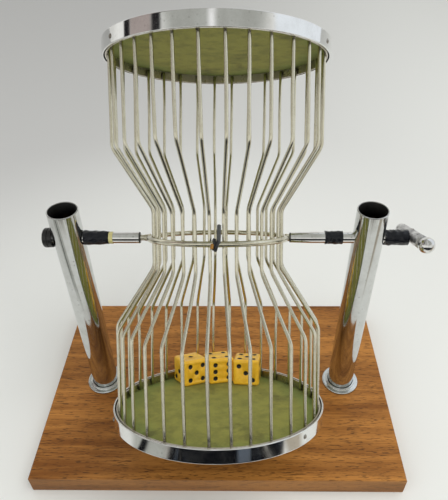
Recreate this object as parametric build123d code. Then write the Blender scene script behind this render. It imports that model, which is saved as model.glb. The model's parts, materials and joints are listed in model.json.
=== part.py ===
from build123d import *
import os
from math import cos, radians, sin, sqrt

# A chuck a luck cage: an hourglass cage of bent wire bars that turns on a cross axle between
# two tube posts on a wooden board, with three dice loose inside it.
# Millimetres. X runs along the axle towards the handle, Y runs away from the player, Z is up.
# The origin is the middle of the board's underside.

os.makedirs("parts", exist_ok=True)

# Board
BOARD_WIDTH = 304.8
BOARD_DEPTH = 198.0
BOARD_THICKNESS = 17.6
BOARD_EDGE_BREAK = 0.6

# Posts and what holds them in the board
POST_SPACING = 220.8
POSTS_OFF_CENTRE = 2.5
POST_DIAMETER = 22.6
POST_WALL = 1.0
POST_ABOVE_AXLE = 24.5
POST_SEAT_DEPTH = 8.0
FLANGE_BRIM = 3.6
FLANGE_THICKNESS = 1.5
FLANGE_LIP_HEIGHT = 3.2
FLANGE_LIP_WALL = 1.5
FLANGE_LIP_BREAK = 0.4
FLANGE_COVE = 1.0
PLUG_LENGTH = 24.0
PLUG_EDGE_BREAK = 0.8
PILOT_HOLE_SPARE = 1.0
SCREW_LENGTH = 27.0
SCREW_DIAMETER = 3.8
SCREW_HEAD_DIAMETER = 8.4
SCREW_HEAD_SINK = 0.5
SCREW_SLOT_WIDTH = 1.2
SCREW_SLOT_DEPTH = 1.1

# Cage ends
CAGE_LENGTH = 270.0
HOOP_DIAMETER = 158.8
HOOP_HEIGHT = 10.1
HOOP_WALL = 1.3
HOOP_EDGE_RADIUS = 0.4
BAND_GAP = 0.85
BAND_WALL = 1.2
BAND_HEIGHT = 7.3
DISC_THICKNESS = 2.4
FELT_THICKNESS = 1.2
RIVET_COUNT = 3
RIVET_HEAD_DIAMETER = 3.4
RIVET_HEAD_HEIGHT = 0.8
RIVET_SHANK_DIAMETER = 1.6
RIVET_FROM_END = 5.4
TOP_RIVET_ANGLE = -24.2
BOTTOM_RIVET_ANGLE = -41.0

# Cage bars, bent from one wire each, set by hand and so a little uneven round the hoops
BAR_COUNT = 31
BAR_DIAMETER = 2.4
BAR_END_GAP = 1.3
BAR_BEND_RADIUS = 12.0
DRUM_BEND_SPACING = 128.2
WAIST_BEND_SPACING = 41.2
WAIST_DIAMETER = 94.0
FIRST_BAR_ANGLE = -150.0
SPREAD_ONE_SIDE = 2.3
SPREAD_ONE_SIDE_PHASE = 20.0
SPREAD_TWO_SIDES = 1.5

# Waist ring, axle and what is on it
RING_WIRE_DIAMETER = 3.9
AXLE_ROD_DIAMETER = 4.2
LEFT_ROD_SHOWING = 5.05
RIGHT_ROD_SHOWING = 0.4
TUBE_DIAMETER = 8.3
TUBE_EDGE_BREAK = 0.6
RIGHT_TUBE_SWAGE = 0.5
RIGHT_TUBE_TAPER_LENGTH = 17.0
CAP_DIAMETER = 14.6
CAP_LENGTH = 7.1
CAP_WALL = 1.6
CAP_EDGE_RADIUS = 1.6
CAP_GROOVE_WIDTH = 0.7
CAP_GROOVE_DEPTH = 0.5
CAP_GROOVE_FROM_POST = 3.2
LEFT_WRAP_LENGTH = 18.4
LEFT_WRAP_THICKNESS = 1.5
LEFT_WRAP_TIP_THICKNESS = 0.5
LEFT_WRAP_TURNS = 4
STRIP_WIDTH = 3.0
STRIP_THICKNESS = 0.4
BAND_TAPE_FROM_POST = 7.6
BAND_TAPE_WIDTH = 13.0
BAND_TAPE_THICKNESS = 1.0
BAND_TAPE_EDGE_RADIUS = 0.3
RIGHT_WRAP_LENGTH = 17.6
RIGHT_WRAP_THICKNESS = 1.7
RIGHT_WRAP_TURNS = 5
WRAP_WRINKLE = 0.35

# Handle across the axle's right end
HANDLE_ANGLE = 23.4
HANDLE_DIAMETER = 9.8
HANDLE_TIP_DIAMETER = 9.6
HANDLE_BACK_REACH = 35.0
HANDLE_FRONT_REACH = 19.0
HANDLE_FRONT_EDGE_RADIUS = 1.0
HANDLE_SOCKET_DEPTH = 6.6
KNOB_DIAMETER = 11.5
KNOB_NECK_DIAMETER = 6.6
KNOB_NECK_LENGTH = 1.7
KNOB_STUD_DIAMETER = 4.0
KNOB_STUD_LENGTH = 6.0
KNOB_STUD_HOLE_SPARE = 0.5
GRUB_DIAMETER = 4.2
GRUB_BACK_OFFSET = 8.5
GRUB_ANGLE = 45.0
GRUB_DEPTH = 2.6
GRUB_SINK = 0.4
GRUB_SLOT_WIDTH = 0.9
GRUB_SLOT_DEPTH = 0.6

# Wire tie at the front of the waist ring
TIE_DIAMETER = 2.1
TIE_SIDE_GAP = 0.45
TIE_HALF_STRAIGHT = 1.3
TIE_TAIL_LENGTH = 9.0
TIE_TAIL_SWELL = 1.15
TIE_TAIL_LEAN = (-0.25, 0.1, 1)

# Dice
DIE_EDGE = 22.2
DIE_EDGE_RADIUS = 2.2
PIP_DIAMETER = 4.0
PIP_DEPTH = 0.9
PIP_SPACING = 5.9
MIDDLE_DIE_X = -2.5
LEFT_DIE_TURN = 32.2
MIDDLE_DIE_TURN = 18.5
RIGHT_DIE_TURN = -6.7

# Rest pose: how far the cage's top leans away from the player
CAGE_TILT = 32.4

# Clearances: pieces that are seated, the axle in the posts, pieces that pass each other, and the
# cage's corners over the board
SEAT_GAP = 0.05
RUNNING_GAP = 0.08
MOVING_GAP = 0.3
SWING_CLEARANCE = 12.7

# How far a cutting shape runs past what it cuts
CUT_PAST = 1.0

# Worked out from the sizes above
swing_radius = sqrt((CAGE_LENGTH / 2) ** 2 + (HOOP_DIAMETER / 2) ** 2)
axle_height = BOARD_THICKNESS + SWING_CLEARANCE + swing_radius
post_radius = POST_DIAMETER / 2
post_bore_radius = post_radius - POST_WALL
post_foot = BOARD_THICKNESS - POST_SEAT_DEPTH
post_inner_face = POST_SPACING / 2 - post_radius
post_outer_face = POST_SPACING / 2 + post_radius
rod_radius = AXLE_ROD_DIAMETER / 2
tube_bore_radius = rod_radius + SEAT_GAP
tube_radius = TUBE_DIAMETER / 2
cage_end = CAGE_LENGTH / 2
disc_face = cage_end - DISC_THICKNESS
felt_face = disc_face - FELT_THICKNESS
hoop_radius = HOOP_DIAMETER / 2
hoop_inner_radius = hoop_radius - HOOP_WALL
band_radius = hoop_inner_radius - BAND_GAP
band_inner_radius = band_radius - BAND_WALL
bar_radius = BAR_DIAMETER / 2
drum_radius = band_inner_radius - SEAT_GAP - bar_radius
waist_radius = WAIST_DIAMETER / 2
bar_end = felt_face - BAR_END_GAP
ring_wire_radius = RING_WIRE_DIAMETER / 2
ring_radius = waist_radius + bar_radius + SEAT_GAP + ring_wire_radius
left_tube_start = ring_radius + ring_wire_radius + LEFT_ROD_SHOWING
right_tube_start = ring_radius + ring_wire_radius + RIGHT_ROD_SHOWING
left_axle_end = post_outer_face + CAP_LENGTH - CAP_WALL
right_tube_end = post_outer_face + RIGHT_WRAP_LENGTH - SEAT_GAP
band_tape_start = post_inner_face - BAND_TAPE_FROM_POST - BAND_TAPE_WIDTH
handle_radius = HANDLE_DIAMETER / 2
handle_centre = post_outer_face + RIGHT_WRAP_LENGTH + handle_radius
right_rod_end = handle_centre + HANDLE_SOCKET_DEPTH - handle_radius
knob_centre = HANDLE_FRONT_REACH + KNOB_NECK_LENGTH + KNOB_DIAMETER / 2


def on_axle(shape):
    """Carry a shape drawn about the axle's middle to its place between the posts."""
    return Pos(POSTS_OFF_CENTRE, 0, axle_height) * shape


def in_cage(shape):
    """Lean a shape drawn on the upright cage back to the rest pose."""
    return on_axle(Rot(X=-CAGE_TILT) * shape)


def rod(radius, start, end):
    """A round rod along X from start to end."""
    return Pos((start + end) / 2, 0, 0) * Rot(Y=90) * Cylinder(radius, end - start)


def turned(points):
    """A solid turned about X from (x, radius) points."""
    outline = Polyline(*[(x, r, 0) for x, r in points], close=True)
    return revolve(make_face(outline), Axis.X)


def post_x(side):
    return POSTS_OFF_CENTRE + side * POST_SPACING / 2


def screw_hole():
    """What the wood screw takes out of the board, from the underside up."""
    shank = SCREW_DIAMETER / 2 + SEAT_GAP
    head = SCREW_HEAD_DIAMETER / 2 + SEAT_GAP
    sink = Pos(0, 0, SCREW_HEAD_SINK / 2) * Cylinder(head, SCREW_HEAD_SINK)
    cone_height = head - shank
    cone = Pos(0, 0, SCREW_HEAD_SINK + cone_height / 2) * Cone(head, shank, cone_height)
    return sink + cone + Pos(0, 0, BOARD_THICKNESS / 2) * Cylinder(shank, BOARD_THICKNESS)


def baseboard():
    board = Pos(0, 0, BOARD_THICKNESS / 2) * Box(BOARD_WIDTH, BOARD_DEPTH, BOARD_THICKNESS)
    board = chamfer(board.edges(), BOARD_EDGE_BREAK)
    for side in (-1, 1):
        seat = Pos(0, 0, post_foot + POST_SEAT_DEPTH / 2)
        board -= Pos(post_x(side), 0, 0) * seat * Cylinder(post_radius + SEAT_GAP, POST_SEAT_DEPTH)
        board -= Pos(post_x(side), 0, 0) * screw_hole()
    return board


def post(side):
    """An open tube with a cross hole through both walls that the axle turns in."""
    height = axle_height + POST_ABOVE_AXLE - post_foot
    tube = Cylinder(post_radius, height) - Cylinder(post_bore_radius, height)
    tube = Pos(post_x(side), 0, post_foot + height / 2) * tube
    cross = Rot(Y=90) * Cylinder(tube_radius + RUNNING_GAP, POST_DIAMETER * 2)
    return tube - Pos(post_x(side), 0, axle_height) * cross


def post_flange(side):
    """A spun cover ring round the foot of a post, with a raised lip against the tube."""
    bore = post_radius + SEAT_GAP
    lip = bore + FLANGE_LIP_WALL
    rim = lip + FLANGE_BRIM
    cove = FLANGE_COVE
    lip_break = FLANGE_LIP_BREAK
    with BuildPart() as ring:
        with BuildSketch(Plane.XZ):
            with BuildLine():
                base = Line((bore, 0), (rim, 0))
                edge = Line(base @ 1, (rim, FLANGE_THICKNESS / 2))
                shoulder = Line((rim - FLANGE_THICKNESS / 2, FLANGE_THICKNESS), (lip + cove, FLANGE_THICKNESS))
                RadiusArc(edge @ 1, shoulder @ 0, -FLANGE_THICKNESS / 2)
                rise = Line(shoulder @ 1, (lip, FLANGE_THICKNESS + cove))
                top = Line((lip, FLANGE_LIP_HEIGHT - lip_break), (lip - lip_break, FLANGE_LIP_HEIGHT))
                Line(rise @ 1, top @ 0)
                inner = Line(top @ 1, (bore, FLANGE_LIP_HEIGHT))
                Line(inner @ 1, base @ 0)
            make_face()
        revolve(axis=Axis.Z)
    return Pos(post_x(side), 0, BOARD_THICKNESS) * ring.part


def post_plug(side):
    """A turned wood plug in the foot of the tube, which the screw bites into."""
    plug = Cylinder(post_bore_radius - SEAT_GAP, PLUG_LENGTH)
    plug = chamfer(plug.edges(), PLUG_EDGE_BREAK)
    bite = SCREW_LENGTH - post_foot + PILOT_HOLE_SPARE
    pilot = Cylinder(SCREW_DIAMETER / 2 + SEAT_GAP, bite + CUT_PAST)
    plug -= Pos(0, 0, (bite - CUT_PAST - PLUG_LENGTH) / 2) * pilot
    return Pos(post_x(side), 0, post_foot + PLUG_LENGTH / 2) * plug


def post_screw(side):
    """A countersunk wood screw with a plain shank, up through the board into the plug."""
    head = SCREW_HEAD_DIAMETER / 2
    shank = SCREW_DIAMETER / 2
    cone = head - shank
    tip = SCREW_LENGTH - SCREW_HEAD_SINK - SEAT_GAP
    points = [(0, 0), (0, head), (cone, shank), (tip - 2 * shank, shank), (tip, 0)]
    screw = Rot(Y=-90) * turned(points)
    slot = Pos(0, 0, SCREW_SLOT_DEPTH / 2) * Box(SCREW_HEAD_DIAMETER, SCREW_SLOT_WIDTH, SCREW_SLOT_DEPTH)
    return Pos(post_x(side), 0, SCREW_HEAD_SINK) * (screw - slot)


def rivet_angles(first):
    return [first + i * 360 / RIVET_COUNT for i in range(RIVET_COUNT)]


def rivet_place(end, angle):
    """Where a rivet stands: its own X runs out through band and hoop."""
    return Rot(Z=angle) * Pos(0, 0, end * (cage_end - RIVET_FROM_END))


def rivet_holes(end, first):
    hole = rod(RIVET_SHANK_DIAMETER / 2 + SEAT_GAP, band_inner_radius - CUT_PAST, hoop_radius + CUT_PAST)
    return [rivet_place(end, angle) * hole for angle in rivet_angles(first)]


def hoop_rivets(end, first):
    """Domed rivets through the hoop and the band behind it."""
    start = band_inner_radius + SEAT_GAP
    foot = hoop_radius + SEAT_GAP
    top = foot + RIVET_HEAD_HEIGHT
    shank = RIVET_SHANK_DIAMETER / 2
    head = RIVET_HEAD_DIAMETER / 2
    dome_radius = (head ** 2 + RIVET_HEAD_HEIGHT ** 2) / (2 * RIVET_HEAD_HEIGHT)
    with BuildPart() as rivet:
        with BuildSketch(Plane.XY):
            with BuildLine():
                stem = Polyline((top, 0), (start, 0), (start, shank), (foot, shank), (foot, head))
                RadiusArc(stem @ 1, stem @ 0, dome_radius)
            make_face()
        revolve(axis=Axis.X)
    return Compound([in_cage(rivet_place(end, angle) * rivet.part) for angle in rivet_angles(first)])


def ring_wall(outer, inner, height):
    return Cylinder(outer, height) - Cylinder(inner, height)


def hoop(end, first):
    """The chromed outer hoop of one end, its long edges rounded over."""
    band = ring_wall(hoop_radius, hoop_inner_radius, HOOP_HEIGHT)
    outer = [e for e in band.edges().filter_by(GeomType.CIRCLE) if e.radius > hoop_radius - HOOP_WALL / 2]
    band = fillet(outer, HOOP_EDGE_RADIUS)
    band = Pos(0, 0, end * (cage_end - HOOP_HEIGHT / 2)) * band
    return in_cage(band - rivet_holes(end, first))


def inner_band(end, first):
    """The plain band inside the hoop that the bars are soldered to."""
    band = ring_wall(band_radius, band_inner_radius, BAND_HEIGHT)
    band = Pos(0, 0, end * (disc_face - BAND_HEIGHT / 2)) * band
    return in_cage(band - rivet_holes(end, first))


def end_disc(end):
    disc = Cylinder(hoop_inner_radius - SEAT_GAP, DISC_THICKNESS)
    return in_cage(Pos(0, 0, end * (cage_end - DISC_THICKNESS / 2)) * disc)


def felt(end):
    disc = Cylinder(band_inner_radius - SEAT_GAP, FELT_THICKNESS)
    return in_cage(Pos(0, 0, end * (disc_face - FELT_THICKNESS / 2)) * disc)


def bar_angle(index):
    """Even spacing plus the slow drift of bars set by hand."""
    turn = index * 360 / BAR_COUNT
    drift = SPREAD_TWO_SIDES * cos(radians(2 * turn))
    drift -= SPREAD_ONE_SIDE * sin(radians(turn + SPREAD_ONE_SIDE_PHASE))
    return FIRST_BAR_ANGLE + turn + drift


def bar():
    """One bent bar: drum, cone, waist, cone, drum, drawn in the plane of X and Z."""
    stations = [(drum_radius, bar_end), (drum_radius, DRUM_BEND_SPACING / 2), (waist_radius, WAIST_BEND_SPACING / 2)]
    half = [(radius, 0, -height) for radius, height in stations]
    points = half + [(radius, 0, height) for radius, height in reversed(stations)]
    path = FilletPolyline(*points, radius=BAR_BEND_RADIUS)
    section = Plane(origin=path @ 0, z_dir=path % 0) * Circle(bar_radius)
    return sweep(section, path=path)


def waist_ring():
    """The thick ring round the outside of the bars, which carries the cage on the axle."""
    return in_cage(Torus(ring_radius, ring_wire_radius))


def axle_rod(side):
    """A rod welded to the ring, its end hollowed to fit the ring's round."""
    end = right_rod_end if side > 0 else left_axle_end
    ring = Rot(X=-CAGE_TILT) * Torus(ring_radius, ring_wire_radius + SEAT_GAP)
    blank = rod(rod_radius, ring_radius, end) - ring
    blank = blank.solids().sort_by(Axis.X)[-1]
    if side < 0:
        blank = mirror(blank, about=Plane.YZ)
    return on_axle(blank)


def axle_tube_left():
    tube = rod(tube_radius, -left_axle_end, -left_tube_start)
    tube = chamfer(tube.edges().filter_by(GeomType.CIRCLE), TUBE_EDGE_BREAK)
    return on_axle(tube - rod(tube_bore_radius, -left_axle_end - CUT_PAST, 0))


def axle_tube_right():
    """The right sleeve, swaged down to a smaller tip towards the ring."""
    start = right_tube_start
    tip = tube_radius - RIGHT_TUBE_SWAGE
    points = [
        (start, tube_bore_radius),
        (start, tip - TUBE_EDGE_BREAK),
        (start + TUBE_EDGE_BREAK, tip),
        (start + RIGHT_TUBE_TAPER_LENGTH, tube_radius),
        (right_tube_end, tube_radius),
        (right_tube_end, tube_bore_radius),
    ]
    return on_axle(turned(points))


def axle_cap():
    """The moulded cap on the axle's left end, with a groove round it."""
    start = post_outer_face + MOVING_GAP
    end = post_outer_face + CAP_LENGTH
    cap = rod(CAP_DIAMETER / 2, -end, -start)
    cap = fillet(cap.edges().sort_by(Axis.X)[0], CAP_EDGE_RADIUS)
    groove_middle = post_outer_face + CAP_GROOVE_FROM_POST
    groove = rod(CAP_DIAMETER, -groove_middle - CAP_GROOVE_WIDTH / 2, -groove_middle + CAP_GROOVE_WIDTH / 2)
    cap -= groove - rod(CAP_DIAMETER / 2 - CAP_GROOVE_DEPTH, -end, -start)
    return on_axle(cap - rod(tube_radius + SEAT_GAP, -end + CAP_WALL - SEAT_GAP, 0))


def wrapped(start, end, start_radius, end_radius, turns):
    """Tape wound on a tube: a turned sleeve whose radius swells and dips with each turn."""
    bore = tube_radius + SEAT_GAP / 2
    points = [(start, bore)]
    steps = 2 * turns
    for i in range(steps + 1):
        share = i / steps
        swell = WRAP_WRINKLE if i % 2 else 0
        points.append((start + (end - start) * share, start_radius + (end_radius - start_radius) * share + swell))
    points.append((end, bore))
    return turned(points)


def tape_wrap_left():
    outer = -(post_inner_face - MOVING_GAP)
    inner = outer + LEFT_WRAP_LENGTH
    thick = tube_radius + LEFT_WRAP_THICKNESS
    return on_axle(wrapped(outer, inner, thick, tube_radius + LEFT_WRAP_TIP_THICKNESS, LEFT_WRAP_TURNS))


def tape_strip_left():
    """The yellowed adhesive edge that shows beyond the wrap."""
    start = -(post_inner_face - MOVING_GAP) + LEFT_WRAP_LENGTH
    ring = rod(tube_radius + STRIP_THICKNESS, start, start + STRIP_WIDTH)
    return on_axle(ring - rod(tube_radius + SEAT_GAP / 2, start - CUT_PAST, start + STRIP_WIDTH + CUT_PAST))


def tape_band_right():
    end = band_tape_start + BAND_TAPE_WIDTH
    ring = rod(tube_radius + BAND_TAPE_THICKNESS, band_tape_start, end)
    ring = fillet(ring.edges().filter_by(GeomType.CIRCLE), BAND_TAPE_EDGE_RADIUS)
    return on_axle(ring - rod(tube_radius + SEAT_GAP / 2, band_tape_start - CUT_PAST, end + CUT_PAST))


def tape_wrap_right():
    start = post_outer_face + MOVING_GAP
    thick = tube_radius + RIGHT_WRAP_THICKNESS
    return on_axle(wrapped(start, right_tube_end, thick, thick, RIGHT_WRAP_TURNS))


def on_handle(shape):
    """Carry a shape drawn along +X to the handle, which points at the player and up."""
    return on_axle(Pos(handle_centre, 0, 0) * Rot(X=-HANDLE_ANGLE) * Rot(Z=-90) * shape)


def handle_bar():
    """A turned bar with a domed back end, socketed for the axle and tapped for the knob."""
    tip = HANDLE_TIP_DIAMETER / 2
    dome_centre = -HANDLE_BACK_REACH + tip
    edge_radius = HANDLE_FRONT_EDGE_RADIUS
    with BuildPart() as bar_part:
        with BuildSketch(Plane.XY):
            with BuildLine():
                dome = RadiusArc((-HANDLE_BACK_REACH, 0), (dome_centre, tip), tip)
                side = Line(dome @ 1, (HANDLE_FRONT_REACH - edge_radius, handle_radius))
                edge = RadiusArc(side @ 1, (HANDLE_FRONT_REACH, handle_radius - edge_radius), edge_radius)
                face = Line(edge @ 1, (HANDLE_FRONT_REACH, 0))
                Line(face @ 1, dome @ 0)
            make_face()
        revolve(axis=Axis.X)
    solid = bar_part.part
    stud_hole_end = HANDLE_FRONT_REACH - KNOB_STUD_LENGTH - KNOB_STUD_HOLE_SPARE
    solid -= rod(KNOB_STUD_DIAMETER / 2 + SEAT_GAP, stud_hole_end, HANDLE_FRONT_REACH + CUT_PAST)
    solid -= grub_place() * Cylinder(GRUB_DIAMETER / 2 + SEAT_GAP, 2 * GRUB_DEPTH)
    placed = on_handle(solid)
    return placed - on_axle(rod(rod_radius + SEAT_GAP, right_tube_end, right_rod_end + SEAT_GAP))


def grub_place():
    """The grub screw's place on the bar: towards the back, on the side away from the cage."""
    radius = handle_radius - (HANDLE_DIAMETER - HANDLE_TIP_DIAMETER) / 4
    return Rot(X=-GRUB_ANGLE) * Pos(-GRUB_BACK_OFFSET, 0, radius)


def handle_grub_screw():
    screw = Pos(0, 0, -(GRUB_DEPTH + GRUB_SINK) / 2) * Cylinder(GRUB_DIAMETER / 2, GRUB_DEPTH - GRUB_SINK)
    slot = Box(GRUB_DIAMETER * 2, GRUB_SLOT_WIDTH, 2 * (GRUB_SINK + GRUB_SLOT_DEPTH))
    return on_handle(grub_place() * (screw - slot))


def handle_knob():
    """The ball at the front end, turned in one piece with its neck and stud."""
    ball = Pos(knob_centre, 0, 0) * Sphere(KNOB_DIAMETER / 2)
    neck = rod(KNOB_NECK_DIAMETER / 2, HANDLE_FRONT_REACH + SEAT_GAP, knob_centre)
    stud = rod(KNOB_STUD_DIAMETER / 2, HANDLE_FRONT_REACH - KNOB_STUD_LENGTH, knob_centre)
    return on_handle(ball + neck + stud)


def wire_tie():
    """A turn of insulated wire lashed slantwise round the ring and a bar, its ends twisted up."""
    wire = TIE_DIAMETER / 2
    inside = waist_radius - bar_radius - SEAT_GAP - wire
    outside = ring_radius + ring_wire_radius + SEAT_GAP + wire
    half_length = (outside - inside) / 2
    half_width = ring_wire_radius * sqrt(2) + wire + TIE_SIDE_GAP
    corner = half_width - TIE_HALF_STRAIGHT
    loop_plane = Plane(origin=((inside + outside) / 2, 0, 0), x_dir=(1, 0, 0), z_dir=(0, -1, 1))
    corners = [
        (-half_length, -half_width),
        (half_length, -half_width),
        (half_length, half_width),
        (-half_length, half_width),
    ]
    path = loop_plane * FilletPolyline(*corners, radius=corner, close=True)
    loop = sweep(Plane(origin=path @ 0, z_dir=path % 0) * Circle(wire), path=path)
    tail_foot = loop_plane.from_local_coords((half_length - wire, half_width, 0))
    tail = Plane(origin=tail_foot, z_dir=TIE_TAIL_LEAN) * Pos(0, 0, TIE_TAIL_LENGTH / 2)
    tail = tail * Cylinder(wire * TIE_TAIL_SWELL, TIE_TAIL_LENGTH)
    return in_cage(Rot(Z=bar_angle(tied_bar())) * (loop + tail))


def tied_bar():
    """The bar nearest the front of the ring."""
    return min(range(BAR_COUNT), key=lambda i: abs(bar_angle(i) + 90))


def face_pips(count):
    """Pip places on one face, as shares of the pip spacing."""
    middle = [(0, 0)]
    slant = [(-1, 1), (1, -1)]
    other_slant = [(-1, -1), (1, 1)]
    sides = [(-1, 0), (1, 0)]
    pips = middle if count % 2 else []
    pips = pips + (slant if count > 1 else [])
    pips = pips + (other_slant if count > 3 else [])
    return pips + (sides if count == 6 else [])


def die(top, front, left):
    """A die with drilled pips, from the counts on its top, its front and its left side."""
    body = fillet(Box(DIE_EDGE, DIE_EDGE, DIE_EDGE).edges(), DIE_EDGE_RADIUS)
    mouth = PIP_DIAMETER / 2
    ball = (mouth ** 2 + PIP_DEPTH ** 2) / (2 * PIP_DEPTH)
    half = DIE_EDGE / 2
    faces = [
        (top, (0, 0, 1), (1, 0, 0)),
        (7 - top, (0, 0, -1), (1, 0, 0)),
        (front, (0, -1, 0), (1, 0, 0)),
        (7 - front, (0, 1, 0), (1, 0, 0)),
        (left, (-1, 0, 0), (0, 0, 1)),
        (7 - left, (1, 0, 0), (0, 0, 1)),
    ]
    drills = []
    for count, normal, across_face in faces:
        side = Plane(origin=Vector(normal) * half, x_dir=across_face, z_dir=normal)
        for across, along in face_pips(count):
            at = Pos(across * PIP_SPACING, along * PIP_SPACING, ball - PIP_DEPTH)
            drills.append(side * at * Sphere(ball))
    return body - drills


def on_felt(x, y, turn, solid):
    """Set a die on the lower felt, clear of it, at a place given across and away from the player."""
    height = -felt_face + MOVING_GAP + DIE_EDGE / 2
    return in_cage(Pos(x, y, height) * Rot(Z=turn) * solid)


def back_of_cage(x, turn):
    """How far back a die may lie at x before a corner comes within the gap of the bars."""
    reach = DIE_EDGE / 2 * sqrt(2) - DIE_EDGE_RADIUS * (sqrt(2) - 1)
    limit = drum_radius - bar_radius - MOVING_GAP
    room = []
    for corner in (45, 135):
        angle = radians(corner + turn)
        across = x + reach * cos(angle)
        room.append(sqrt(limit ** 2 - across ** 2) - reach * sin(angle))
    return min(room)


def die_reach(skew):
    """Half the width of a die across a line that is skewed to its faces."""
    core = DIE_EDGE / 2 - DIE_EDGE_RADIUS
    return core * (abs(cos(radians(skew))) + abs(sin(radians(skew)))) + DIE_EDGE_RADIUS


def gap_between(x, turn, other_x, other_turn):
    """The gap between two dice at the back of the cage, measured square to the face that parts them."""
    across = other_x - x
    back = back_of_cage(other_x, other_turn) - back_of_cage(x, turn)
    gaps = []
    for face in (turn, turn + 90, other_turn, other_turn + 90):
        between = abs(across * cos(radians(face)) + back * sin(radians(face)))
        gaps.append(between - die_reach(face - turn) - die_reach(face - other_turn))
    return max(gaps)


def beside(x, turn, next_turn, side):
    """How far along the axle the next die lies, just clear of the die at x."""
    near = x
    far = x + side * 1.5 * DIE_EDGE
    for _ in range(40):
        place = (near + far) / 2
        if gap_between(x, turn, place, next_turn) < MOVING_GAP:
            near = place
        else:
            far = place
    return far


def dice():
    """Each die's name, place along the axle, turn, and counts on its top, front and left."""
    left_x = beside(MIDDLE_DIE_X, MIDDLE_DIE_TURN, LEFT_DIE_TURN, -1)
    right_x = beside(MIDDLE_DIE_X, MIDDLE_DIE_TURN, RIGHT_DIE_TURN, 1)
    return [
        ("die_left", left_x, LEFT_DIE_TURN, (1, 5, 3)),
        ("die_middle", MIDDLE_DIE_X, MIDDLE_DIE_TURN, (4, 6, 5)),
        ("die_right", right_x, RIGHT_DIE_TURN, (5, 3, 1)),
    ]


def save(name, shape):
    export_step(shape, "parts/" + name + ".step")


def main():
    save("baseboard", baseboard())
    for name, side in (("left", -1), ("right", 1)):
        save("post_" + name, post(side))
        save("post_flange_" + name, post_flange(side))
        save("post_plug_" + name, post_plug(side))
        save("post_screw_" + name, post_screw(side))
        save("axle_rod_" + name, axle_rod(side))
    for name, end, first in (("top", 1, TOP_RIVET_ANGLE), ("bottom", -1, BOTTOM_RIVET_ANGLE)):
        save("hoop_" + name, hoop(end, first))
        save("inner_band_" + name, inner_band(end, first))
        save("hoop_rivets_" + name, hoop_rivets(end, first))
        save("end_disc_" + name, end_disc(end))
        save("felt_" + name, felt(end))
    one_bar = bar()
    for first in range(0, BAR_COUNT, 2):
        pair = [in_cage(Rot(Z=bar_angle(i)) * one_bar) for i in (first, first + 1) if i < BAR_COUNT]
        save("bar_pair_%02d" % (first // 2 + 1), Compound(pair))
    save("waist_ring", waist_ring())
    save("axle_tube_left", axle_tube_left())
    save("axle_tube_right", axle_tube_right())
    save("axle_cap", axle_cap())
    save("tape_wrap_left", tape_wrap_left())
    save("tape_strip_left", tape_strip_left())
    save("tape_band_right", tape_band_right())
    save("tape_wrap_right", tape_wrap_right())
    save("handle_bar", handle_bar())
    save("handle_knob", handle_knob())
    save("handle_grub_screw", handle_grub_screw())
    save("wire_tie", wire_tie())
    for name, x, turn, counts in dice():
        save(name, on_felt(x, back_of_cage(x, turn), turn, die(*counts)))


main()
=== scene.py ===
"""Dresses the packed chuck a luck cage: every surface, its finish, the studio and the camera."""
import json
import math

import bmesh
import bpy
import numpy as np
from bpy.props import FloatProperty, FloatVectorProperty, IntProperty, PointerProperty
from mathutils import Matrix, Vector


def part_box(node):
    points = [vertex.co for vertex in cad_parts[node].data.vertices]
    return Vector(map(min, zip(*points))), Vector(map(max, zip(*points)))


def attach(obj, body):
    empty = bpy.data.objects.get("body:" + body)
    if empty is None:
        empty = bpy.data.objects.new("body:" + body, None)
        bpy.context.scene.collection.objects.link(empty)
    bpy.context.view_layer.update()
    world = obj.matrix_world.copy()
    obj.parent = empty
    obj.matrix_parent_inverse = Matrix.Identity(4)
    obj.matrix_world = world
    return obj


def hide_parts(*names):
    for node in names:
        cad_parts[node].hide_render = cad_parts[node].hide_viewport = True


bl_info = {
    "name": "Dice cage dresser",
    "version": (1, 0, 0),
    "blender": (4, 5, 0),
    "location": "3D View > Sidebar > Dice cage",
    "description": "Builds the surfaces, finishes and studio of a chuck a luck cage",
    "category": "Object",
}

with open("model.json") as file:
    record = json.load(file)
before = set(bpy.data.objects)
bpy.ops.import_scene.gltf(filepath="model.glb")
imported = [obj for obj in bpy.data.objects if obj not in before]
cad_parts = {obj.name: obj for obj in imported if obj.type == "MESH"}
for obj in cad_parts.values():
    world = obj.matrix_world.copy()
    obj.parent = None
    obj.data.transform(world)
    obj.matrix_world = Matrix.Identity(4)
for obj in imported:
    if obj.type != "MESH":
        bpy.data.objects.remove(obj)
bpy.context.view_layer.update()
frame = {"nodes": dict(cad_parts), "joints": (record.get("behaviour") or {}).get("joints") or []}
MM = 0.001
TAU = 2 * math.pi


# Places read from the frame

def middle(node):
    low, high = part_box(node)
    return (low + high) / 2


def half_width(node):
    low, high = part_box(node)
    return (high.x - low.x) / 2


RISE_AXIS = next(joint["axis"] for joint in frame["joints"] if joint["name"] == "die_middle_slide")
LEAN = math.atan2(RISE_AXIS[1], RISE_AXIS[2])
CAGE_UP = np.array([0.0, math.sin(LEAN), math.cos(LEAN)])
CAGE_BACK = np.array([0.0, math.cos(LEAN), -math.sin(LEAN)])
SIDES = {"left": -1, "right": 1}
ENDS = {"top": 1, "bottom": -1}
BOARD_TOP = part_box("baseboard")[1].z
BOARD_HALF_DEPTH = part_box("baseboard")[1].y
BOARD_HALF_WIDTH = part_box("baseboard")[1].x
POST_RADIUS = half_width("post_left")
POST_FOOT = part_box("post_left")[0].z
POST_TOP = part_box("post_left")[1].z
AXLE_X = (middle("post_left").x + middle("post_right").x) / 2
AXLE_Z = middle("axle_tube_left").z
AXLE = np.array([AXLE_X, 0.0, AXLE_Z])
HOOP_RADIUS = half_width("hoop_top")
BAND_RADIUS = half_width("inner_band_top")
FELT_RADIUS = half_width("felt_top")
CAGE_END = (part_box("hoop_top")[1].z - AXLE_Z - HOOP_RADIUS * math.sin(LEAN)) / math.cos(LEAN)


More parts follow.
